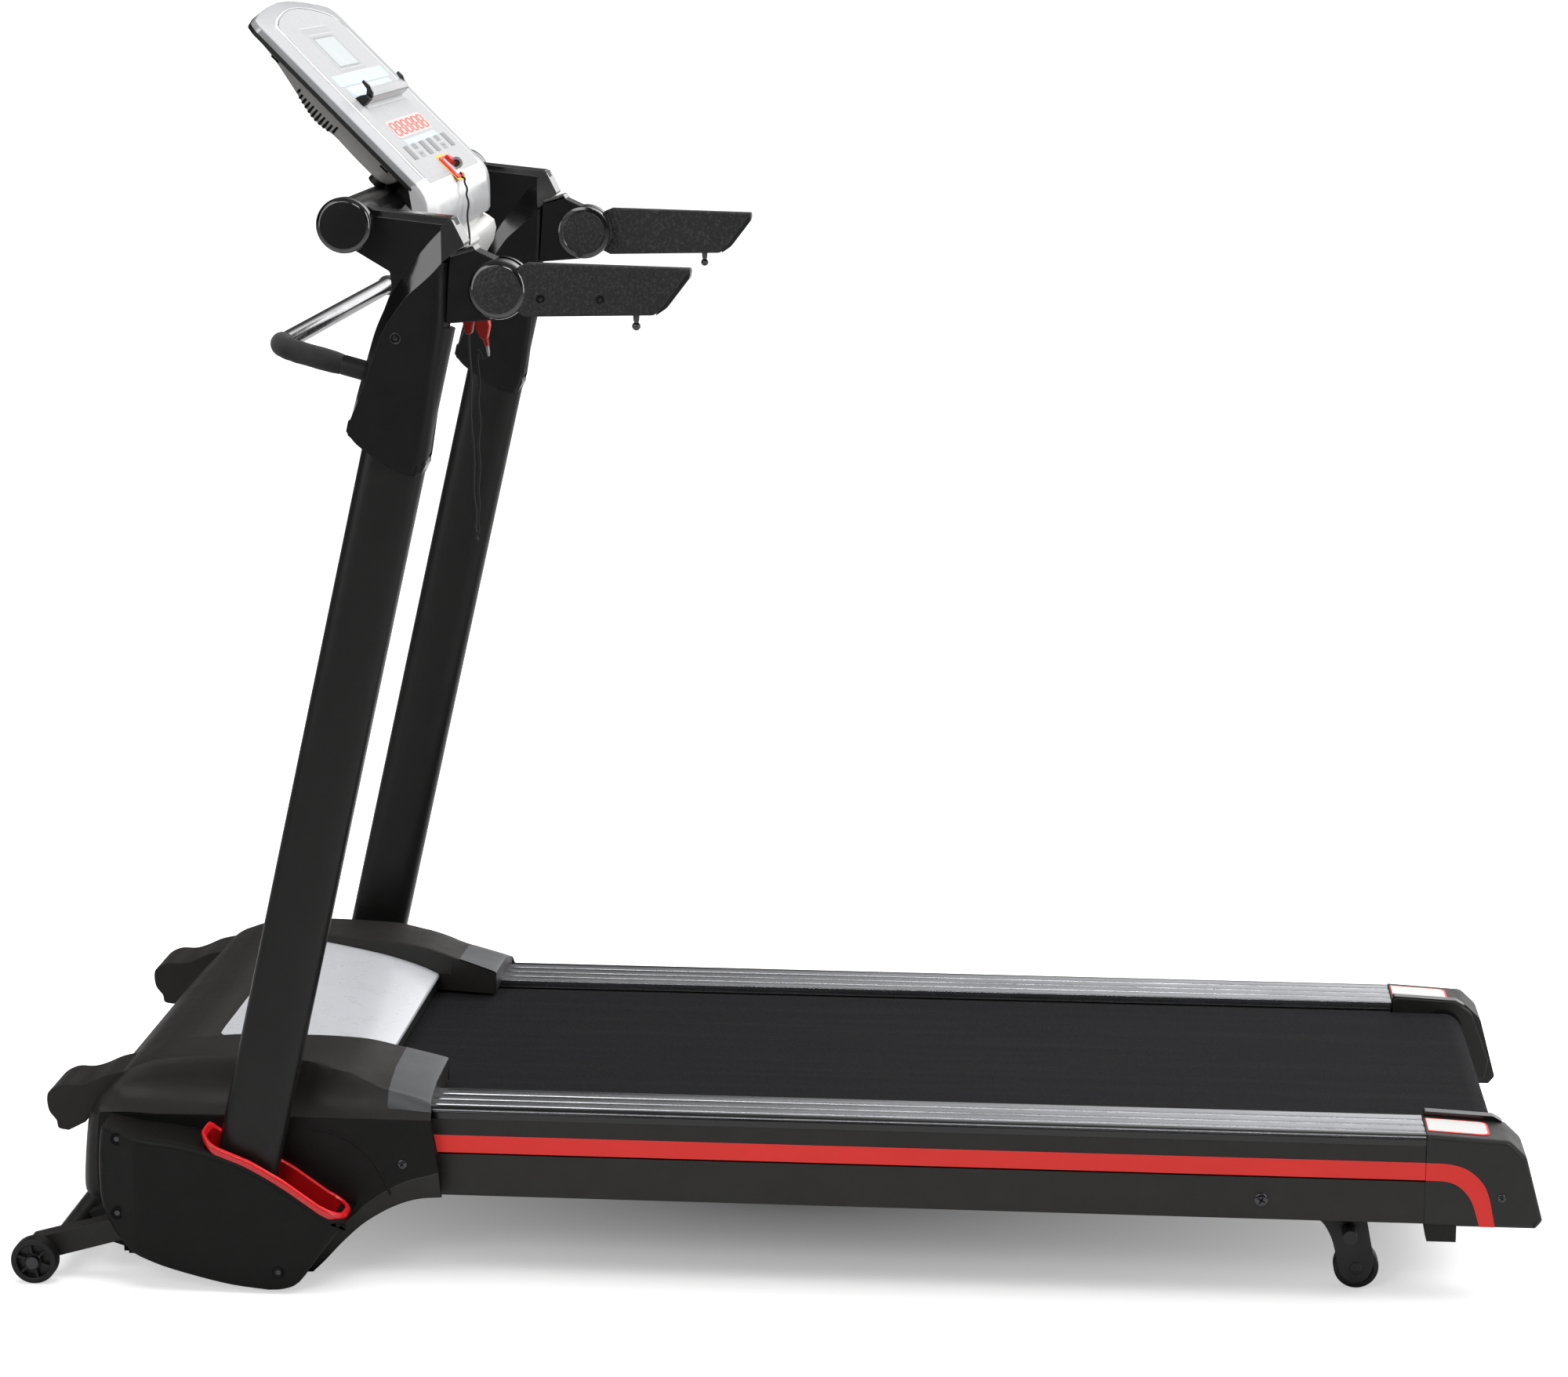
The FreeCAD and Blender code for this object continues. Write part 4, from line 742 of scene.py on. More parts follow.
def deck_screws():
    piece = Piece("screws", "deck_base", "deck_screws", "dark_screws")
    for _ in piece.sides():
        screw(piece, 1134, FACE_Y, 113, 8)
        screw(piece, 1396, FACE_Y + 1, 123, 5)
        screw(piece, 181, 331.2, 133, 5.5)
        for x, y, z in ((-127, 388.2, 172), (-129, 387.5, 86), (52, 394.6, 25)):
            socket(piece, x, y, z, 6.2, "dark")
    piece.done()


# ------------------------------------------------------------------------------------ motor end
HOOD = [(-167, 73), (-179, 82), (-185, 94), (-183, 135), (-178, 177), (-172, 189), (-160, 204), (-137, 225),
    (-117, 234), (-96, 240), (-50, 245), (-5, 246), (64, 243), (100, 240), (127, 236), (163, 226),
    (205, 214), (210, 211)]
LIP = [(-150, 78), (-158, 88), (-164, 98), (-164, 140), (-161, 176), (-160, 181), (-158, 184), (-140, 185),
    (-118, 185), (-97, 184), (-50, 182), (-5, 182), (64, 182), (100, 182), (127, 182), (163, 182),
    (208, 182), (213, 182)]
PANEL = [(-70, 243), (-50, 241.5), (-20, 239), (10, 235.5), (39, 231.5), (70, 226.5), (100, 219.5),
    (120, 213.5), (134, 208)]


def height_at(line, x):
    for (x1, z1), (x2, z2) in zip(line, line[1:]):
        if x <= x2:
            return z1 + (z2 - z1) * max(0.0, (x - x1) / (x2 - x1))
    return line[-1][1]


def arch_inner(x):
    return 226 - 0.17 * max(0.0, x + 60)


def motor_hood():
    """One skin over the motor: nose, crowned top, two arches beside the panel and flared side walls."""
    piece = Piece("hood", "deck_base", "motor_hood", "cover_plastic")
    top = smooth_line(HOOD, 4)
    lip = smooth_line(LIP, 4)
    half = []
    for (x, z), (ex, ez) in zip(top, lip):
        inner = arch_inner(x)
        dip = height_at(PANEL, x) - 1.6 if x > -70 and x > top[0][0] + 60 else z
        low = min(z, dip)
        row = [(x, y * inner / 205, low) for y in (0, 60, 120, 170, 190, 200)]
        row += [(x, inner - 1.4, low), (x, inner, z - min(1.2, z - low)), (x, inner + 1.6, z),
            (x, inner + 8, z), (x, 262, z), (x, 290, z - 0.6), (x, 300, z - 1.6)]
        tilt = max(0.0, min(1.0, (x - 70) / 80))
        row = row[:-3] + [(a, b, c - tilt * 17 * max(0.0, b - 250) / 81) for a, b, c in row[-3:]]
        nose = max(0.0, min(1.0, (x + 137) / -30))
        for across, soft, sharp in ((0.05, 0.03, 0.12), (0.13, 0.10, 0.34), (0.22, 0.24, 0.52),
                (0.36, 0.50, 0.70), (0.55, 0.76, 0.83), (0.78, 0.92, 0.93), (0.92, 0.98, 0.98),
                (1.0, 1.0, 1.0)):
            rise = soft * tilt + sharp * (1 - tilt)
            rise = rise * (1 - nose) + nose * (1 - math.sqrt(max(0.0, 1 - across * across)))
            sunk = max((z - ez - 3) * rise, min(z - ez - 2, tilt * 17 * (52 + 29 * across) / 81))
            level = z - 2 + (ez - z + 2) * rise if tilt == 0 else z - 2 - sunk
            row.append((x + (ex - x) * rise, 302 + 29 * across, level))
        half.append(row)
    for _ in piece.sides():
        part = loft(half, closed=False)
        hole = [f for f in part.faces if f.calc_center_median().x > 134
            and f.calc_center_median().y < arch_inner(150) - 1.0]
        bmesh.ops.delete(part, geom=hole, context="FACES")
        piece.add(part, "hood")
        start = len([x for x, z in top if x < 156])
        # the rear facet gets the lighter facet material, a painted highlight
        facet = [[(x, y, z + 0.35) for x, y, z in row if arch_inner(x) + 1.5 < y < 318]
            for row in half[start:]]
        piece.add(loft(facet, closed=False), "facet")
        ends = [(x, y, z) for x, y, z in half[-1] if y >= arch_inner(210) - 1.5]
        foot = [(x - 1, y, 186.5 if y < 310 else z - 1) for x, y, z in ends]
        piece.add(loft([ends, foot], closed=False), "hood")
        walls = [(x, arch_inner(x), z - 0.6) for x, z in top if x > -40]
        inside = [walls, [(x, y - 0.2, max(186.0, z - 30)) for x, y, z in walls],
            [(x, y - 0.2, 185.5) for x, y, z in walls]]
        piece.add(loft(inside, closed=False), "hood")
    piece.done()
    panel = Piece("hood_plate", "deck_base", "hood_panel", "silver_plastic")
    rings = []
    line = [(x, z) for x, z in smooth_line(PANEL, 5) if x >= -52]
    line += [(136.0, 206.8), (136.9, 205.2), (137.0, 202.5)]
    for x, z in line:
        share = min(1.0, max(0.0, (x + 52) / 34))
        corner = 34 * (1 - math.sqrt(max(0.0, 1 - (1 - share) ** 2)))
        reach = arch_inner(min(x, 134)) - 2.0 - corner
        upper = [(x, reach * k / 10, z - (0.9 if abs(k) == 10 else 0)) for k in range(-10, 11)]
        lower = [(x - (2.0 if x > 134 else 0), reach * k / 10, z - 2.2) for k in range(10, -11, -1)]
        rings.append(upper + lower)
    panel.add(loft(rings), "silver")
    panel.add(block((131.5, -arch_inner(134) + 3, 186.5), (134.5, arch_inner(134) - 3, 204), 0.6, 2),
        "gasket")
    panel.done()


def nose_bumpers():
    piece = Piece("bumpers", "deck_base", "nose_bumpers", "cover_plastic")
    side_line = smooth_line([(-137, 222), (-158, 217), (-177, 208.5), (-192, 204), (-211, 203.5),
        (-226, 196), (-230, 187), (-228, 172), (-220, 161), (-217.5, 152), (-206, 149.5)], 5)
    outline = side_line + [(-186, 160), (-178, 176), (-160, 200)]
    for _ in piece.sides():
        piece.add(slab(outline, 220, 294, 3.2, 4), "hood")
        piece.add(slab([(-229.6, 168), (-229.6, 190), (-227, 190), (-225, 168)], 228, 286, 1.0, 2), "rubber")
    piece.done()


ARC = smooth_line([(77, 2), (91, 16), (112, 39), (137, 62), (168, 81), (196, 91), (224, 94)], 5)


def side_fairings():
    """Side skirts: flat outer face, and a chamfer that follows the concave arc underneath, with a lighter
    strip along the arc as a painted highlight.
    """
    piece = Piece("fairings", "deck_base", "side_fairings", "cover_plastic")
    front = [(213, 184), (-160, 184), (-164, 140), (-164, 98), (-158, 88), (-146, 78), (-110, 62),
        (-62, 52), (-40, 20), (57, 3)]
    edge = front + ARC + [(224, 125)]
    count = len(ARC)
    raised = []
    for i, (x, z) in enumerate(edge):
        k = i - len(front)
        if k < 0:
            raised.append((x, z))
        elif k < count:
            share = k / (count - 1)
            raised.append((x - 7 - 3 * share, z + 6 + 21 * share ** 1.4))
        else:
            raised.append((x - 6, z))
    raised[-2] = (221.5, 124)
    raised[-1] = (221, 127)
    edge[-1] = (224, 124)
    rings = [[(x, 324, z) for x, z in edge], [(x, 325.5, z) for x, z in edge],
        [(x, 331, z) for x, z in raised]]
    for _ in piece.sides():
        piece.add(soften(loft(rings[::-1]), 0.8, 2, 12), "cover")
        # lighter strip along the arc: a painted highlight
        arc = list(zip(edge, raised))[len(front) + 1:-1]
        turned = [[(a[0] - 0.6, 325.9, a[1] + 0.6), (b[0], 331.5, b[1]), (b[0] - 0.8, 330.6, b[1] + 1.2)]
            for a, b in arc]
        piece.add(loft(turned, closed=False), "channel")
        hoop = [(86 + 88 * math.cos(a), 60 + 112 * math.sin(a))
            for a in (math.radians(d) for d in range(20, 96, 4))]
        thin = [(x - 2.5, z - 3.0) for x, z in hoop]
        piece.add(slab(hoop + thin[::-1], 330.5, 331.9, 0.6, 2), "cover")
    piece.done()


COVER_TOP = smooth_line([(-107, 176), (-66, 172), (-30, 164.5), (-4, 156), (22, 145), (60, 123), (98, 95.5),
    (127, 84)], 4)


def pivot_covers():
    """Bulging covers over the upright pivots: bent front facet, soft rims and an open top at the slot."""
    lower = smooth_line([(129, 86), (119, 72), (96, 42), (74, 12), (57, 4), (40, 2.5)], 3)
    floor = smooth_line([(40, 2.5), (0, 7), (-39, 15.5), (-80, 27), (-114, 41)], 3)[1:]
    front = smooth_line([(-114, 41), (-136, 66), (-149, 96), (-151.5, 130), (-150, 165), (-146, 184)], 4)[1:]
    edge = ordered(COVER_TOP + lower + floor + front)
    inner = grown(edge, -7.5)

    def face_y(x):
        return 395 - 0.33 * max(0.0, -107 - x) - 0.020 * max(0.0, x - 40)
    for piece in pair("pivot_shell_{}", "deck_base", "pivot_cover_{}", "cover_plastic"):
        rings = [[(x, 331, z) for x, z in edge], [(x, face_y(x) - 7.5, z) for x, z in edge]]
        for drop, rise in QUARTER_ROUND:
            rings.append([(a[0] + (b[0] - a[0]) * drop, face_y(a[0]) - 7.5 + 7.5 * rise,
                a[1] + (b[1] - a[1]) * drop) for a, b in zip(edge, inner)])
        part = loft(rings, caps=(False, False))
        rim = [e for e in part.edges if e.is_boundary and all(v.co.y > 360 for v in e.verts)]
        whole = bmesh.ops.contextual_create(part, geom=rim)["faces"]
        around = [e for f in whole for e in f.edges] + [v for f in whole for v in f.verts]
        bmesh.ops.bisect_plane(part, geom=whole + around, plane_co=(-107, 0, 0), plane_no=(1, 0, 0))
        bmesh.ops.bisect_plane(part, geom=part.faces[:] + part.edges[:] + part.verts[:],
            plane_co=(40, 0, 0), plane_no=(1, 0, 0))
        for vertex in part.verts:
            if abs(vertex.co.x + 107) < 2 and vertex.co.y > 390:
                vertex.co.y = 395
        bmesh.ops.triangulate(part, faces=[f for f in part.faces if len(f.verts) > 4], ngon_method="EAR_CLIP")
        gap = [f for f in part.faces if min(v.co.y for v in f.verts) < 340
            and -30 < f.calc_center_median().x < 116
            and abs(height_at(COVER_TOP, f.calc_center_median().x) - f.calc_center_median().z) < 9]
        bmesh.ops.delete(part, geom=gap, context="FACES")
        piece.add(part, "cover")


def slot_bezels():
    """Red linings of the slots: a rounded lip on top that glows as painted light, a deep wall inside in a
    darker red of painted shade.
    """
    piece = Piece("slot_linings", "deck_base", "slot_bezels", "cover_plastic")
    crest = [(-32, 171), (-24, 168), (-4, 160), (22, 149.5), (60, 127.5), (98, 100.5), (120, 89), (133, 85)]

    def ring(grow, lift):
        points, spots = [], []
        x1, x2, y1, y2 = -29 - grow, 121 + grow, 336 - grow, 388 + grow
        for cx, cy, start, r in ((x2, y2, 0, 18 + grow), (x1, y2, 90, 13 + grow), (x1, y1, 180, 13 + grow),
                (x2, y1, 270, 18 + grow)):
            cx += -r if cx == x2 else r
            cy += -r if cy == y2 else r
            for k in range(9):
                a = math.radians(start + k * 90 / 8)
                spots.append((cx + r * math.cos(a), cy + r * math.sin(a)))
        for i, (x, y) in enumerate(spots):
            xn, yn = spots[(i + 1) % len(spots)]
            steps = 26 if abs(xn - x) > 60 else (8 if abs(yn - y) > 12 else 1)
            points += [(x + (xn - x) * k / steps, y + (yn - y) * k / steps) for k in range(steps)]
        result = []
        for x, y in points:
            near = max(0.0, min(1.0, (-12 - x) / 20))
            drop = lift * (0.35 if x > 106 and lift < -8 else 1)
            result.append((x, y, height_at(crest, x) + drop + 9 * near ** 2 - 0.06 * max(0.0, 362 - y)))
        return result
    lip = [ring(grow, lift) for grow, lift in ((4.4, -7), (5.2, -2), (5.0, 0.4), (3.8, 2.2), (2.0, 2.8),
        (0.4, 2.0), (-0.6, 0))]
    walls = [ring(-0.4, 0.5), ring(-0.9, -6), ring(-0.9, -26), ring(-3, -26.5)]
    for _ in piece.sides():
        piece.add(loft(lip, caps=(False, False)), "red")
        piece.add(loft(walls, caps=(False, False)), "shaded_red")
    piece.done()


# ------------------------------------------------------------------------------------ wheels and feet
def wheels(name, body, radius, width, spokes):
    """A wheel on each side: rubber tread, thin web, hub and ribs."""
    half = width / 2
    low, high = cad_box(body.format("right"))
    middle = (low + high) / 2
    rim = radius - 7
    shoulder = [(rim, half - 0.8), (rim + 1, half), (radius - 2.6, half), (radius - 0.8, half - 1.0),
        (radius, half - 3.2)]
    tread = [(r, -t) for r, t in shoulder] + shoulder[::-1] + [(rim - 0.4, 3), (rim - 0.4, -3)]
    hub = [(8.2, half - 1), (9, half - 2)]
    hub = [(4.1, 1 - half)] + [(r, -t) for r, t in hub] + hub[::-1] + [(4.1, half - 1)]
    for piece in pair(name, body, body, "wheel_plastic"):
        piece.add(lathe(disc_profile(*tread), middle, 56), "tyre")
        piece.add(lathe(disc_profile((rim, -2), (rim, 2), (6, 2), (6, -2)), middle, 40), "spoke")
        piece.add(lathe(disc_profile(*hub), middle, 32), "spoke")
        for k in range(spokes):
            rib = block((7.5, 2.2 - half, -1.5), (rim + 0.4, half - 2.2, 1.5), 0.6, 2)
            rib.transform(Matrix.Translation(middle) @ Matrix.Rotation(2 * math.pi * k / spokes + 0.3, 4,
                "Y"))
            piece.add(rib, "spoke")


def incline_feet():
    """Two cheek plates and a web on each side, with the axle of the foot's wheel."""
    x, z, wx, wz = 1229, 108, 1243, 25
    cheek = smooth_line([(x - 34, z - 25), (x - 24, z - 32), (x - 15, z - 48), (wx - 24, wz + 18),
        (wx - 19, wz - 6), (wx - 9, wz - 16), (wx, wz - 17.6), (wx + 10, wz - 14), (wx + 17, wz - 3),
        (wx + 18.5, wz + 12), (wx + 14, wz + 36), (x + 24, z - 26)], 4)
    cheek += [(x + 20, z + 2), (x + 12, z + 14), (x - 12, z + 14), (x - 22, z)]
    inner = cad_box("incline_foot_right")[0].y
    for piece in pair("incline_bracket_{}", "incline_foot_{}", "incline_foot_{}", "frame_paint"):
        for start in (inner, inner + 27):
            piece.add(slab(cheek, start, start + 3, 0.9, 3), "bracket")
        piece.add(block((x - 25, inner + 1, z - 24), (x - 20, inner + 29, z + 2), 1.2), "bracket")
        head = [(0, 0), (6.2, 0), (7, 0.8), (7, 2.6), (5.4, 3.6), (0, 4.2)]
        piece.add(lathe(head, (wx, inner + 29.5, wz), 24), "bracket")
        piece.add(lathe([(4, 0), (4, 28)], (wx, inner + 1, wz), 24), "steel")


# ------------------------------------------------------------------------------------ uprights and handles
LEAN = math.radians(12.6)
HANDLE_SLOPE = math.radians(15)
CRESCENT_OUT = [(247, 1176), (235, 1164), (223, 1150), (210, 1133), (199, 1118), (190, 1103), (181, 1085),
    (173, 1066), (165, 1040), (156, 1010), (149, 985), (145.5, 972)]
CRESCENT_IN = [(247, 1141), (236, 1129), (225, 1119), (210, 1106), (202, 1096), (194, 1085), (186, 1073),
    (179, 1058), (171, 1036), (161, 1008), (151.5, 984), (146, 972)]


def uprights():
    """Round-cornered steel tubes that lean towards the runner, with softly crowned flats."""
    middle, base = 358, PIVOT.z * MM
    half_x, half_y = 35.5, 18.0
    for piece in pair("post_{}", "folding_uprights", "upright_{}", "frame_paint"):
        rings = []
        for along in (-33, -28, 100, 300, 500, 700, 850, 1020):
            ring = []
            for k in range(64):
                a = 2 * math.pi * (k + 0.5) / 64
                c, s = math.cos(a), math.sin(a)
                x = half_x * math.copysign(abs(c) ** 0.6, c)
                y = half_y * math.copysign(abs(s) ** 0.7, s)
                ring.append((x * math.cos(LEAN) + along * math.sin(LEAN), middle + y,
                    base - x * math.sin(LEAN) + along * math.cos(LEAN)))
            rings.append(ring)
        piece.add(loft(rings), "paint")
        washer = disc_profile((8.2, 0), (15, 0), (15.5, 0.6), (15.2, 1.6), (8.2, 1.8))
        for sign in (-1, 1):
            piece.add(lathe(washer, (0, middle + sign * half_y, base), 32, sign), "steel")


def head_side(piece, body_y, arm_y, out, inner):
    """One flank of an upright's head: arm plane, tilted glossy crescent and the body face."""
    rows = [[(x, arm_y, z) for x, z in out], [(x, arm_y + (body_y - arm_y) * 0.97, z) for x, z in inner],
        [(x + 0.5, body_y, z - 0.5) for x, z in inner]]
    piece.add(loft(rows, closed=False), "gloss")
    turn = 15 if body_y > 358 else -8
    left = inner + [(143, 962), (144, 957), (153, 949), (173, 934), (194, 921), (208, 916.5)]
    sheet = []
    for x0, z0 in left:
        edge_x = height_at([(914, 221), (934, 228.5), (1077, 250.5), (1150, 253.5)], z0)
        base = max(x0 + 1.0, edge_x - abs(turn))
        reach = edge_x - base
        row = [(x0, arm_y, z0), (x0 + 0.2, body_y - turn * 0.04, z0), (x0 + 0.7, body_y, z0)]
        row += [(x0 + 0.7 + (base - x0 - 0.7) * share, body_y, z0) for share in (0.3, 0.6, 0.9)]
        for k in range(8):
            a = k * math.pi / 14
            row.append((base + reach * math.sin(a), body_y - turn * (1 - math.cos(a)), z0))
        sheet.append(row)
    piece.add(loft(sheet, closed=False), "shroud")


def shrouds():
    """Head of each upright: arm to the crossbar, glossy crescents, soft side faces and handle block."""
    out = smooth_line(CRESCENT_OUT, 3)
    inner = smooth_line(CRESCENT_IN, 3)
    for piece in pair("upright_head_{}", "folding_uprights", "handle_shroud_{}", "shroud_plastic"):
        arm = fillet([(151, 1153), (151, 1206), (175, 1195.5), (258, 1187), (271, 1160), (255, 1148),
            (250, 1077), (228, 936), (216, 916), (194, 922), (173, 935), (153, 950), (145, 962), (149, 985),
            (158, 1012), (167, 1042), (176, 1070), (184, 1092), (192, 1112), (190, 1130)],
            [3, 3, 14, 3, 4, 2, 2, 4, 3, 3, 3, 3, 3, 6, 6, 6, 6, 6, 10, 5])
        piece.add(slab(arm, 343, 368, 1.6, 3), "shroud")
        top_edge = [(156, 1203.6), (175, 1195.8), (257, 1187.6), (262, 1177), (252, 1178.5), (176, 1187),
            (156, 1195)]
        piece.add(slab(top_edge, 341, 369.4, 1.4, 3), "gloss")
        head_side(piece, 380, 368.4, out, inner)
        head_side(piece, 336.6, 342.6, out, inner)
        peak = fillet([(246.5, 1178), (257.5, 1187.6), (271.5, 1160), (254.5, 1147), (247, 1141)],
            [1, 3, 3, 1, 1])
        piece.add(slab(peak, 338, 379, 5.0, 5), "gloss")
        skirt = smooth_line([(142, 961), (153, 947), (173, 932.5), (194, 919.5), (216, 913)], 3)
        band = skirt + [(x + 2.6, z + 12) for x, z in skirt[::-1]]
        piece.add(slab(band, 337.5, 378.4, 0.7, 2), "shroud")
        clip = fillet([(214, 913.2), (221, 914.5), (226.5, 926), (226, 935), (218, 935)], 1.5)
        piece.add(slab(clip, 338, 372, 1.2, 3), "gloss")
        back = fillet([(249, 1076), (HUB.x, HUB.z - 32), (HUB.x + 8, HUB.z), (HUB.x, HUB.z + 30),
            (283, 1153), (279, 1157.5), (254, 1150)], [4, 3, 3, 8, 2, 3, 2])
        piece.add(slab(back, 337, 371.5, 2.6, 4), "shroud")
        piece.add(slab([(254, 1151.5), (279, 1159.0), (282.5, 1154), (255, 1146)], 337, 373.2, 1.0, 2),
            "gloss")
        socket(piece, 197, 380.0, 1061, 5.2)
        piece.add(lathe([(10, 14), (10, 38)], (HUB.x, 337, HUB.z), 24), "steel")
        disc = [(32, -6), (32, 4.0), (31.4, 5.4), (29.6, 6.0), (26.2, 6.4), (25.4, 5.9)]
        piece.add(lathe(disc, (HUB.x, 337, HUB.z), 64, -1), "gloss")
        piece.add(lathe([(25.4, 5.9), (24, 6.2), (12, 6.5), (0, 6.6)], (HUB.x, 337, HUB.z), 64, -1), "grip")


def bar_middle():
    low, high = cad_box("crossbar")
    return (low.x + high.x) / 2, high.y, (low.z + high.z) / 2


def crossbar():
    """Lacquered tube that narrows where it leaves the end caps."""
    piece = Piece("bar_tube", "folding_uprights", "crossbar", "cap_plastic")
    end = bar_middle()
    turned = [(28.6, -0.6), (29.0, -3), (28.8, -14), (27.6, -20), (26.2, -24), (25.6, -30), (25.5, -end[1])]
    for _ in piece.sides():
        piece.add(lathe(turned, end, 72), "lacquer")
    piece.done()


def crossbar_ends():
    piece = Piece("bar_end_caps", "folding_uprights", "crossbar_caps", "cap_plastic")
    for _ in piece.sides():
        rim = [(29.2, -0.6), (29.4, 0.6), (29.2, 1.8), (28.0, 3.4), (26.0, 4.6), (24.6, 5.0)]
        piece.add(lathe(rim, bar_middle(), 64), "gloss")
        disc = [(24.6, 5.0), (24.2, 4.8), (20, 5.3), (12, 5.8), (0, 6.0)]
        piece.add(lathe(disc, bar_middle(), 64), "shroud")
    piece.done()


def grips():
    """Textured side grips on round hubs, with a stud underneath."""
    low, high = cad_box("handle_right")
    x, z, inner, outer = HUB.x, HUB.z, low.y, high.y
    for piece in pair("grip_{}", "handle_{}", "handle_{}", "grip_rubber"):
        ring = [(29, 0), (31.2, 0.4), (32, 1.6), (32, 17), (31.6, 19.4), (30.2, 21.6), (27.8, 23.4),
            (25.4, 24.2)]
        piece.add(lathe(ring, (x, inner, z), 64), "gloss")
        piece.add(lathe([(10.05, 0), (29, 0)], (x, inner, z), 64), "gloss")
        piece.add(lathe([(25.4, 24.2), (24.9, 23.9), (24.2, 24.1), (16, 24.7), (8, 25.0), (0, 25.0)],
            (x, inner, z), 64), "grip")
        body = fillet([(x + 22, z - 24), (x + 22, z + 24), (x + 30, z + 27), (x + 205, z + 23),
            (x + 202, z + 16), (x + 178, z - 17), (x + 165, z - 25), (x + 30, z - 28)],
            [1, 1, 2, 3, 3, 12, 6, 2])
        piece.add(slab(body, inner + 0.6, outer - 3, 2.6, 4), "grip")
        top = [(x + 30, z + 24.6), (x + 30, z + 28.0), (x + 204, z + 24.0), (x + 203, z + 20.6)]
        piece.add(slab(top, inner + 1.2, outer - 3.8, 1.3, 3), "grip")
        tip = fillet([(x + 204.5, z + 22.0), (x + 203.0, z + 14), (x + 179, z - 17.5), (x + 167, z - 25.8),
            (x + 170, z - 20), (x + 177, z - 13), (x + 199, z + 17)], [2, 3, 10, 2, 6, 4, 3])
        piece.add(slab(tip, inner + 0.4, outer - 2.6, 0.9, 2), "ridge")
        for sx in (351, 414):
            socket(piece, sx, outer - 3, z - 9, 4.8, "ridge")
        across = inner + 11
        stud = [(x + 146, across, z - drop) for drop in (25, 31, 34)]
        piece.add(tube(stud, [3.6, 3.2, 2.4]), "gloss")
        ball = bmesh.new()
        bmesh.ops.create_uvsphere(ball, u_segments=24, v_segments=14, radius=4.6)
        ball.transform(Matrix.Translation((x + 146, across, z - 37.6)))
        piece.add(ball, "gloss")


def on_handle(a, y):
    """Point in the lift handle's plane: a along the legs from the uprights, y across."""
    return Vector((146, 0, 1025)) + Vector((a * math.cos(HANDLE_SLOPE), y, -a * math.sin(HANDLE_SLOPE)))


def foam_sleeves():
    """Foam round the two bends of the lift handle, and a rubber collar at each leg."""
    piece = Piece("foam_sleeves", "folding_uprights", "lift_handle_foam", "foam")
    reach, half, bend = 86, 344, 26
    for side in SIDES.values():
        path = [on_handle(-14 - k * (reach - bend - 14) / 6, half * side) for k in range(7)]
        for k in range(1, 13):
            a = k * math.pi / 24
            path.append(on_handle(-(reach - bend) - bend * math.sin(a),
                (half - bend + bend * math.cos(a)) * side))
        path += [on_handle(-reach, (half - bend - 5) * side), on_handle(-reach, (half - bend - 9) * side)]
        radii = [11.0, 11.9] + [12.1 + 0.16 * math.sin(k * 1.7) for k in range(len(path) - 4)] + [11.9, 10.7]
        piece.add(tube(path, radii, 28), "foam")
        collar = [on_handle(-15 + k * 3.4, half * side) for k in range(11)]
        piece.add(tube(collar, [10.3] + [10.9] * 9 + [10.6], 24), "gasket")
    piece.done()


# ------------------------------------------------------------------------------------ console
CONSOLE = Matrix.Translation((118, 0, 1292)) @ Matrix.Rotation(math.radians(45), 4, "Y")


def console_line(quarter, radii):
    """A closed outline in the console plane from one half: x runs down the slope."""
    points = quarter + [(x, -y) for x, y in quarter[::-1]]
    return ordered(fillet(points, radii + radii[::-1], 5))


RIM_OUTER = [(113.5, 214), (112, 222), (60, 222), (-60, 222), (-126, 222), (-137, 213), (-144, 170),
    (-151, 100), (-155.5, 34)]

RIM_INNER = [(112.5, 176), (104, 176), (60, 175), (-60, 171), (-114, 168), (-122, 158), (-130, 124),
    (-137, 74), (-141, 26)]

RIM_RADII = [0.4, 0.4, 60, 60, 10, 16, 60, 80, 90]

def rim_ring(share, height, grow=0.0):
    """Outline between the outer (0) and inner (1) edge of the rim, at a height above the panel."""
    line = between(console_line(RIM_OUTER, RIM_RADII), console_line(RIM_INNER, RIM_RADII), share)
    return [(x, y, height) for x, y in (grown(line, grow) if grow else line)]


NOSE_FRONT = [(110, 0.35), (118, 0.1), (126, -2.0), (134, -5.4), (141, -9.6), (148, -14.6), (154.5, -20.4),
    (160, -26.4), (163, -30.2), (165, -33.0)]

NOSE_CREASE = [(110, -3.3), (118, -3.7), (126, -5.7), (134, -9.8), (140, -14.6), (146, -20.4), (151, -25.4),
    (155.5, -29.9), (158.5, -32.9), (161.2, -35.6)]

NOSE_EDGE = [(110, -10.0), (118, -10.3), (126, -12.0), (133, -15.5), (139, -20.6), (144, -25.6),
    (148, -29.6), (152, -33.6), (155, -36.6), (157.7, -39.3)]

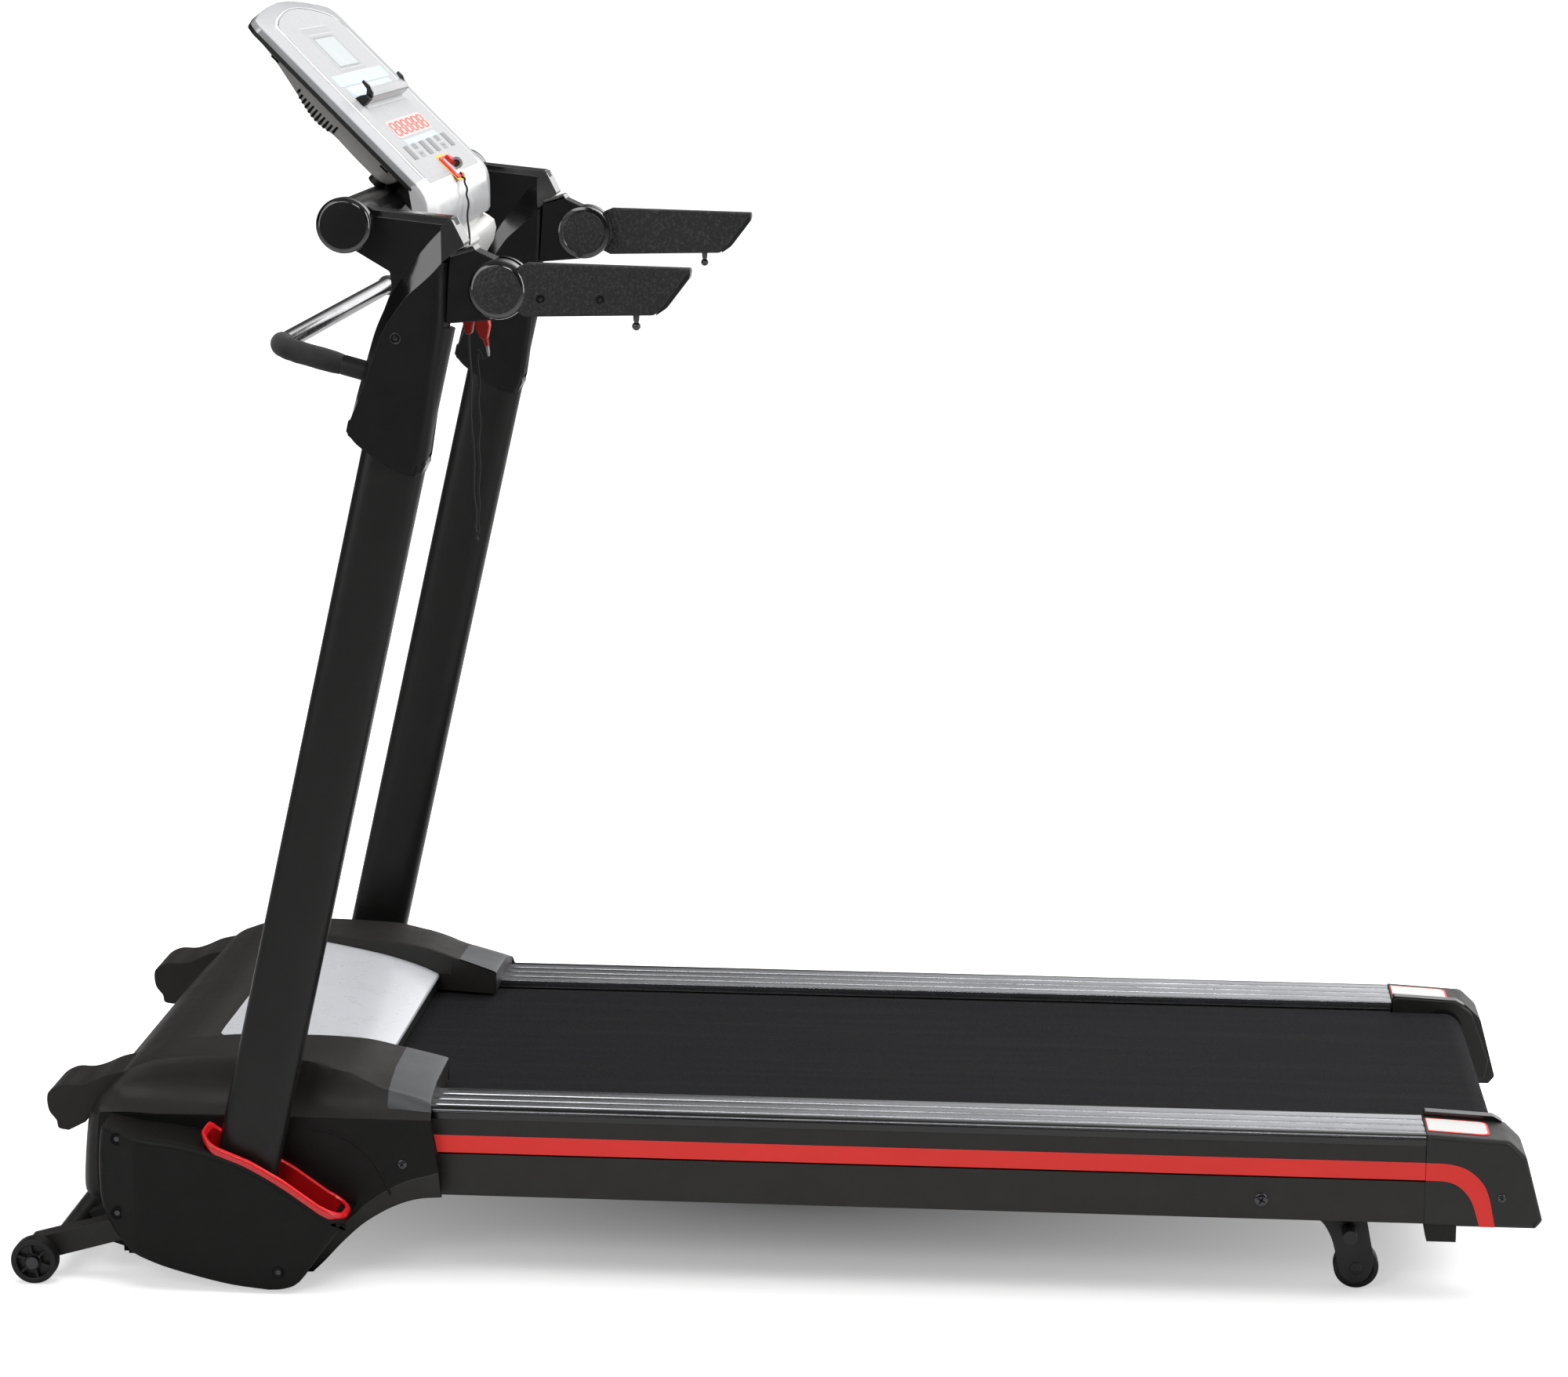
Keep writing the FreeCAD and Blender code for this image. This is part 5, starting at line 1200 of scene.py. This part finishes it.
def nose_rows():
    """Rows across the nose, from the near side wall over the front to the far side wall."""
    rows = []
    for y, a, b, share in ((222.4, NOSE_EDGE, NOSE_EDGE, 0), (221.9, NOSE_EDGE, NOSE_CREASE, 0.5),
            (221.2, NOSE_EDGE, NOSE_CREASE, 0.86), (219.5, NOSE_CREASE, NOSE_FRONT, 0.06),
            (200, NOSE_CREASE, NOSE_FRONT, 0.48), (181, NOSE_CREASE, NOSE_FRONT, 0.9),
            (176, NOSE_CREASE, NOSE_FRONT, 0.985), (168, NOSE_FRONT, NOSE_FRONT, 0),
            (90, NOSE_FRONT, NOSE_FRONT, 0)):
        line = between(a, b, share)
        s, n = line[-1]
        line += [(s - 0.6, n - 1.4), (s - 3.0, n - 2.0), (s - 12, n - 1.0), (124, -24), (110, -14)]
        rows.append([(s, y, n) for s, n in line])
    return [[(s, -y, n) for s, y, n in row] for row in rows] + rows[::-1]


def strip_at(piece, low, high, half, height, key, radius):
    """A printed patch on the panel: from low to high down the slope."""
    piece.add(plate(rectangle(low, high, -half, half, radius), 0.3, height, 0.06, 1), key)


def segment_digit(piece, s, y, height, width):
    """A seven-bar digit with all bars shown."""
    half, quarter = width / 2, height / 4
    for ds in (-height / 2, 0, height / 2):
        digit_bar(piece, s + ds, y, 2.0, width - 5.6)
    for dy in (half, -half):
        for ds in (-quarter, quarter):
            digit_bar(piece, s + ds, y + dy, height / 2 - 1.4, 4.4)


def digit_bar(piece, s, y, long_s, long_y):
    low, high = (s - long_s / 2, y - long_y / 2, 0.9), (s + long_s / 2, y + long_y / 2, 1.15)
    piece.add(block(low, high, 0.1, 1), "digit")


def console_face():
    """Silver rim that drops away outside, a bead along its inner edge painted white as a highlight line, and
    the white nose.
    """
    face = Piece("console_front", "folding_uprights", "console_face", "silver_plastic", place=CONSOLE)
    rings = [rim_ring(*at) for at in ((0, -13.6, -3), (0, -12.6, -1.2), (0, -11.6), (0, -10), (0.004, -6),
        (0.012, -4.2), (0.035, -3.4), (0.08, -3.05), (0.5, -2.0), (0.92, -0.8), (1.0, -0.8))]
    face.add(loft(rings), "rim")
    # the bead is painted white: a painted highlight line along the overlay's edge
    highlight_bead = [rim_ring(*at) for at in ((0.87, -1.6), (0.875, -0.4), (0.91, 0.4), (0.96, 0.6), (1.0, 0.3),
        (1.0, -1.2))]
    face.add(loft(highlight_bead, caps=(False, False)), "nose")
    face.add(loft(nose_rows()), "nose")
    face.done()


def console_panel():
    """Printed overlay: a window with its frames, blue strips, and a red number display."""
    film = Piece("console_panel", "folding_uprights", "console_windows", "window_plastic", place=CONSOLE)
    flat = grown(console_line([(119.5, 170), (113, 174.5)] + RIM_INNER[2:], [3, 5] + RIM_RADII[2:]), -1.6)
    film.add(plate(flat, 0.0, 0.42, 0.1, 1), "overlay")
    for patch in ((-112, -42, 78, 0.55, "overlay_line", 5), (-111, -43, 76.5, 0.6, "overlay_dark", 4),
            (-101, -48, 68, 0.68, "overlay_line", 2), (-100, -49, 66.8, 0.74, "overlay_dark", 2),
            (-96.5, -50.0, 59, 0.8, "window", 1.5), (-94, -52.5, 55.5, 0.9, "lcd", 1),
            (-42, -26, 150, 0.6, "blue", 2), (-24, -4, 132, 0.55, "blue_pale", 2),
            (30.5, 55.5, 110, 0.62, "digit_back", 4), (59, 66.5, 98, 0.6, "blue", 2)):
        strip_at(film, *patch)
    for k in range(6):
        segment_digit(film, 43, 35 * (k - 2.5), 17.5, 24)
    film.done()


def console_shell():
    """Grey back of the console: a lofted belly under a rubber seal, with vents drawn as dark blocks of
    painted shade, knobs and rubber blocks.
    """
    back = Piece("console_shell", "folding_uprights", "console_back", "silver_plastic", place=CONSOLE)
    seal = [rim_ring(0, height, grow) for height, grow in ((-10.4, -2.0), (-10.5, 0.4), (-13.0, 0.6),
        (-15.2, -0.2), (-15.4, -3))]
    back.add(loft(seal), "gasket")
    low_line = smooth_line([(-141, -15.4), (-118, -16.6), (-92, -19.5), (-56, -27.0), (-24, -34.2),
        (-8, -34.6), (12, -31.8), (40, -32.6), (74, -32.4), (86, -30.0), (91, -24), (92, -15.4)], 4)
    rows = []
    for s, n in low_line:
        wide = 211 - max(0.0, -112 - s) * 0.9 - max(0.0, s - 78) * 0.8
        belly = n - 4 * max(0.0, 1 - abs(s + 10) / 110)
        half = [(s, 60, belly - 2.5), (s, 150, belly - 1.2), (s, wide - 2, n - 0.4), (s, wide, n + 0.9),
            (s, wide + 1.6, n * 0.6 - 6.1), (s, wide + 2, -15.2)]
        rows.append([(s, -y, h) for s, y, h in half[::-1]] + half)
    back.add(loft(rows), "shell")
    for _ in back.sides():
        # vent slots: dark blocks of painted shade
        for k in range(11):
            s = -50 + k * 5.7
            short = k in (0, 10)
            floor = height_at(low_line, s) + (1.5 if short else -0.6)
            back.add(block((s - 1.3, 207, floor), (s + 1.5, 212.8, -22.0 if short else -24.5), 0.4, 2),
                "dark")
        for s in (-92, 74):
            back.add(block((s - 5.5, 208, -19.6), (s + 5.5, 213.6, -17.4), 0.5, 2), "dark")
        knob = lathe([(0, 0), (8, 0), (9.5, 1.5), (9.5, 11), (8.5, 12), (0, 12)], (0, 0, 0), 20)
        knob.transform(Matrix.Translation((76, 188, -30)) @ Matrix.Rotation(math.radians(-90), 4, "X"))
        back.add(knob, "gasket")
        back.add(block((96, 167, -36), (124, 177, -15), 2.0, 3), "gasket")
    # vents underneath: dark bars of painted shade
    for k in range(9):
        back.add(block((-50 + k * 9, -60, -46.0), (-46 + k * 9, 60, -36), 0.6, 2), "dark")
    back.add(block((70, -168, -37), (114, 168, -15), 3.0, 3), "gasket")
    back.done()


def device_ledge():
    """Silver ledge across the panel with a hook at its left end and small feet."""
    ledge = Piece("tablet_ledge", "folding_uprights", "device_ledge", "silver_plastic", place=CONSOLE)
    profile = fillet([(-2.6, -3.5), (-2.8, 11), (-6, 13.2), (-9, 13.6), (-9, 15.6), (-3, 15.8), (2.8, 13),
        (3.2, 8), (2.8, -3.5)], [0.3, 2, 2, 0.8, 0.8, 3, 3, 2, 0.3])
    ledge.add(slab(profile, -113, 116, 0.6, 3), "ledge")
    ledge.add(plate(rectangle(-5, 9, -122, 122, 2), 0.3, 0.9, 0.2, 1), "overlay_line")
    hook = fillet([(-5, 0.5), (-4.4, 10), (-8, 14.5), (-17.5, 16), (-18, 18.8), (-8, 19.4), (-1, 17),
        (3.4, 12), (3.2, 0.5)], [0.6, 3, 2, 1, 1, 4, 3, 2, 0.5])
    ledge.add(slab(hook, -119, -112, 1.0, 3), "gloss")
    ledge.add(slab([(-9, 0.3), (-7, 6), (-3, 11), (3.8, 11), (4.2, 0.3)], -133, -113, 1.2, 3), "gasket")
    ledge.add(slab([(-18, 15.4), (-18, 18.8), (-10, 19.2), (-4, 16), (-5, 13)], 101, 109, 1.0, 3), "gloss")
    ledge.done()


def console_apron():
    """Pale skirt from the nose down to the crossbar, drawn in and rounded at its ends."""
    apron = Piece("console_skirt", "folding_uprights", "console_apron", "silver_plastic")
    rows = []
    for k in range(-20, 21):
        y, out = 9.5 * k, abs(k) / 20
        lift = 9.5 * out ** 2
        pull = 15 * (1 - math.sqrt(max(0.0, 1 - max(0.0, (out - 0.86) / 0.14) ** 2)))
        section = [(203, 1152 - pull * 0.3), (204.5, 1146 - pull * 0.3), (206, 1139.5 + lift - pull * 0.5),
            (213, 1138.6 + lift - pull * 0.7), (219.5 - pull * 0.6, 1135.6 + lift * 0.9 - pull),
            (222 - pull * 0.8, 1129.5 + lift * 0.4 - pull), (218.5 - pull * 0.6, 1118 - pull * 0.6),
            (211 - pull * 0.3, 1105), (201.5, 1092), (194, 1092), (203, 1108), (206, 1124), (199, 1136),
            (197, 1150 - pull * 0.3)]
        rows.append([(x, y, z) for x, z in section])
    apron.add(soften(loft(rows), 0.8, 2, 50), "apron")
    apron.done()


def console_keys():
    """Six keys, numbered from the left; the second and fifth are small double keys."""
    for k in range(6):
        node = "console_key_%d" % (k + 1)
        key = Piece("button_%d" % (k + 1), node, node, "key_plastic", place=CONSOLE)
        y = 50 * (k - 2.5)
        if k in (1, 4):
            for s in (65.5, 77.5):
                key.add(plate(rectangle(s, s + 9, y - 12, y + 12, 1.5), -2.5, 0.75, 0.3, 2), "window")
            for s in (67.5, 71.0, 80.0):
                key.add(block((s, y - 8, 0.5), (s + 1.8, y + 8, 1.0), 0.15, 1), "key_grey")
        else:
            key.add(plate(rectangle(66, 86, y - 12, y + 12, 1.8), -2.5, 1.1, 0.45, 3), "key_grey")
            key.add(plate(rectangle(69, 83, y - 1.5, y + 1.5, 0.6), 0.9, 1.25, 0.08, 1), "window")
        key.done()


def safety_key():
    """Red key on a yellow label, with a grey pad, a finger wing and a magnet in a steel ring."""
    key = Piece("stop_key", "safety_key", "safety_key", "red_key", place=CONSOLE)
    key.add(plate(rectangle(91, 129, -27, 27, 3), 0.3, 0.9, 0.1, 1), "yellow")
    key.add(plate(rectangle(94.5, 126, -24, 24, 3.5), 0.6, 2.6, 0.7, 3), "key_red")
    key.add(plate(rectangle(98, 122, -13, 21, 3), 2.2, 3.2, 0.3, 2), "nose")
    wing = fillet([(96, -4), (106, -2), (114, 6), (114, 12), (104, 16), (98, 10)], 2.5)
    key.add(plate(wing, 2.8, 8.0, 1.6, 4), "key_red")
    ring = disc_profile((4.2, -2.2), (6.4, -2.2), (6.9, -1.2), (6.9, 1.2), (6.4, 2.2), (4.2, 2.2))
    key.add(lathe(ring, (111, 4, 8), 28), "steel")
    key.add(lathe([(0, -1.2), (4.6, -1.2), (4.6, 1.2), (0, 1.2)], (111, 4, 8), 24), "gasket")
    key.done()


def safety_cord():
    """Cord from the key down between the uprights and up again to its clip."""
    cord = Piece("stop_cord", "safety_key", "safety_cord", "cord")
    start = CONSOLE @ Vector((121, 1, 3.4))
    path = smooth_line([tuple(start), (213.5, -2, 1194), (222, -40, 1150), (238, -140, 1010),
        (252, -205, 860), (259, -238, 825), (265, -262, 858), (270, -282, 950), (271, -290, 1040)], 14)
    wavy = [(x + 0.9 * math.sin(i * 0.9), y + 0.8 * math.sin(i * 0.63 + 1), z) for i,
        (x, y, z) in enumerate(path)]
    cord.add(tube(wavy, 1.15, 8), "cord")
    for middle, wide, tip, lean in ((261.5, 5.6, 1057, 0), (275.5, 6.2, 1052, 3)):
        prong = fillet([(middle - wide, 1082), (middle + wide, 1082), (middle + wide + lean, tip + 14),
            (middle + 3.4 + lean, tip), (middle - 3.0 + lean, tip), (middle - wide, tip + 12)],
            [2, 2, 5, 3, 3, 5])
        cord.add(slab(prong, -300, -284, 2.2, 4), "key_red")
    cord.add(tube([(279, -291, 1056), (279.5, -291, 1050), (281, -291, 1044)], [3.4, 3.0, 2.4], 14),
        "key_red")
    cord.add(tube([(281, -291, 1045), (282, -291, 1038), (282.5, -291, 1033)], [1.7, 2.0, 1.2], 12), "steel")
    cord.add(tube([(282.5, -291, 1034), (276, -290, 1030), (271, -290, 1040)], 1.1, 8), "cord")
    cord.done()


# ------------------------------------------------------------------------------------ stage
def studio_floor():
    """Pale floor that glows for the camera further out, and is darker to light that bounces."""
    shade = new_shader("studio_floor")
    path = shade.node("ShaderNodeLightPath")
    pale = shade.mix(shade.noise(9.0, 4.0), (0.86, 0.86, 0.86), (0.9, 0.9, 0.9))
    shade.set("Base Color", shade.mix(path.outputs["Is Diffuse Ray"], pale, (0.20, 0.20, 0.20)))
    shade.set("Roughness", 0.75)
    shade.set("Specular IOR Level", 0.15)
    away = shade.made("ShaderNodeVectorMath", "Value", {0: shade.stretched((0.45, 1.0, 0.0))},
        operation="LENGTH")
    # the glow fades towards the machine, which paints a darker shadow round and under it
    lift = shade.ramp(away, 0.0, 0.75, 0.05, 0.9)
    shade.set("Emission Color", (1.0, 1.0, 1.0))
    shade.set("Emission Strength", shade.maths("MULTIPLY", path.outputs["Is Camera Ray"], lift))
    mesh = bpy.data.meshes.new("floor")
    half = 120
    mesh.from_pydata([(-half, -half, 0), (half, -half, 0), (half, half, 0), (-half, half, 0)], [],
        [(0, 1, 2, 3)])
    mesh.materials.append(shade.owner)
    floor = bpy.data.objects.new("floor", mesh)
    floor.location.z = -0.0005
    bpy.context.scene.collection.objects.link(floor)


def backdrop():
    """White to the camera; to reflections it is bright behind the object and overhead."""
    world = bpy.data.worlds.new("studio")
    bpy.context.scene.world = world
    shade = Shader(world, "Background", "Generated")
    split = shade.node("ShaderNodeSeparateXYZ")
    shade.plug(split.inputs[0], shade.coordinate)
    depth, sideways, overhead = [shade.ramp(split.outputs[axis], *levels, interpolation_type="SMOOTHSTEP")
        for axis, levels in (("Y", (-0.4, 0.8, 0.05, 0.95)), ("X", (-0.14, 0.15, 0.06, 1.3)),
        ("Z", (0.35, 0.95, 0.0, 0.24)))]
    glow = shade.maths("ADD", shade.maths("MULTIPLY", depth, sideways), overhead)
    camera_ray = shade.node("ShaderNodeLightPath").outputs["Is Camera Ray"]
    shade.set("Strength", shade.made("ShaderNodeMix", 0, {"Factor": camera_ray, 2: glow, 3: 1.0}))
    shade.set("Color", (1.0, 1.0, 1.0))


# name, place, aim point, width, height, power
LIGHTS = (("key", (1.9, 1.4, 3.2), (0.1, 0.0, 0.5), 2.4, 1.8, 68),
    ("top", (-0.3, -0.4, 3.6), (-0.1, 0.0, 0.0), 4.0, 2.6, 84),
    ("fill", (-1.6, -3.9, 2.9), (-0.1, 0.0, 0.5), 1.8, 1.4, 33),
    ("sheen_edge", (2.3, -1.9, 1.7), (-0.1, -0.3, 1.0), 0.3, 2.4, 26),
    ("sheen_front", (0.6, -4.2, 3.6), (-0.1, -0.3, 1.0), 1.2, 0.5, 16),
    ("sheen_left", (-2.6, -2.45, 2.2), (-0.4, -0.35, 1.1), 1.4, 3.0, 30))
CAMERA_PLACE, CAMERA_DEGREES = (0.33355, -4.45918, 1.52515), (78.49822, -0.22291, 4.52329)


def lights_and_camera():
    """Soft lights; the sheen lights show only in reflections, and key and top don't."""
    for name, place, aim, wide, high, power in LIGHTS:
        lamp = bpy.data.lights.new(name, "AREA")
        lamp.shape = "RECTANGLE"
        lamp.size, lamp.size_y, lamp.energy = wide, high, power
        spot = bpy.data.objects.new(name, lamp)
        spot.visible_diffuse = not name.startswith("sheen")
        spot.visible_glossy = name not in ("key", "top")
        spot.location = place
        spot.rotation_mode = "QUATERNION"
        spot.rotation_quaternion = (Vector(aim) - Vector(place)).to_track_quat("-Z", "Y")
        bpy.context.scene.collection.objects.link(spot)
    camera = bpy.data.cameras.new("camera")
    camera.lens, camera.sensor_width = 90.0, 36.0
    camera.clip_start, camera.clip_end = 0.05, 400.0
    eye = bpy.data.objects.new("camera", camera)
    eye.location = CAMERA_PLACE
    eye.rotation_euler = [math.radians(a) for a in CAMERA_DEGREES]
    bpy.context.scene.collection.objects.link(eye)
    bpy.context.scene.camera = eye
    bpy.context.scene.view_settings.view_transform = "Standard"


frame_details()
walking_belt()
foot_rails()
channels_and_trim()
end_caps()
deck_screws()
motor_hood()
nose_bumpers()
side_fairings()
pivot_covers()
slot_bezels()
wheels("transport_wheel_{}", "front_wheel_{}", 26, 20, 6)
wheels("foot_wheel_{}", "incline_wheel_{}", 25, 22, 5)
incline_feet()
uprights()
crossbar()
shrouds()
crossbar_ends()
grips()
foam_sleeves()
console_face()
console_panel()
console_shell()
device_ledge()
console_apron()
console_keys()
safety_key()
safety_cord()
studio_floor()
backdrop()
lights_and_camera()
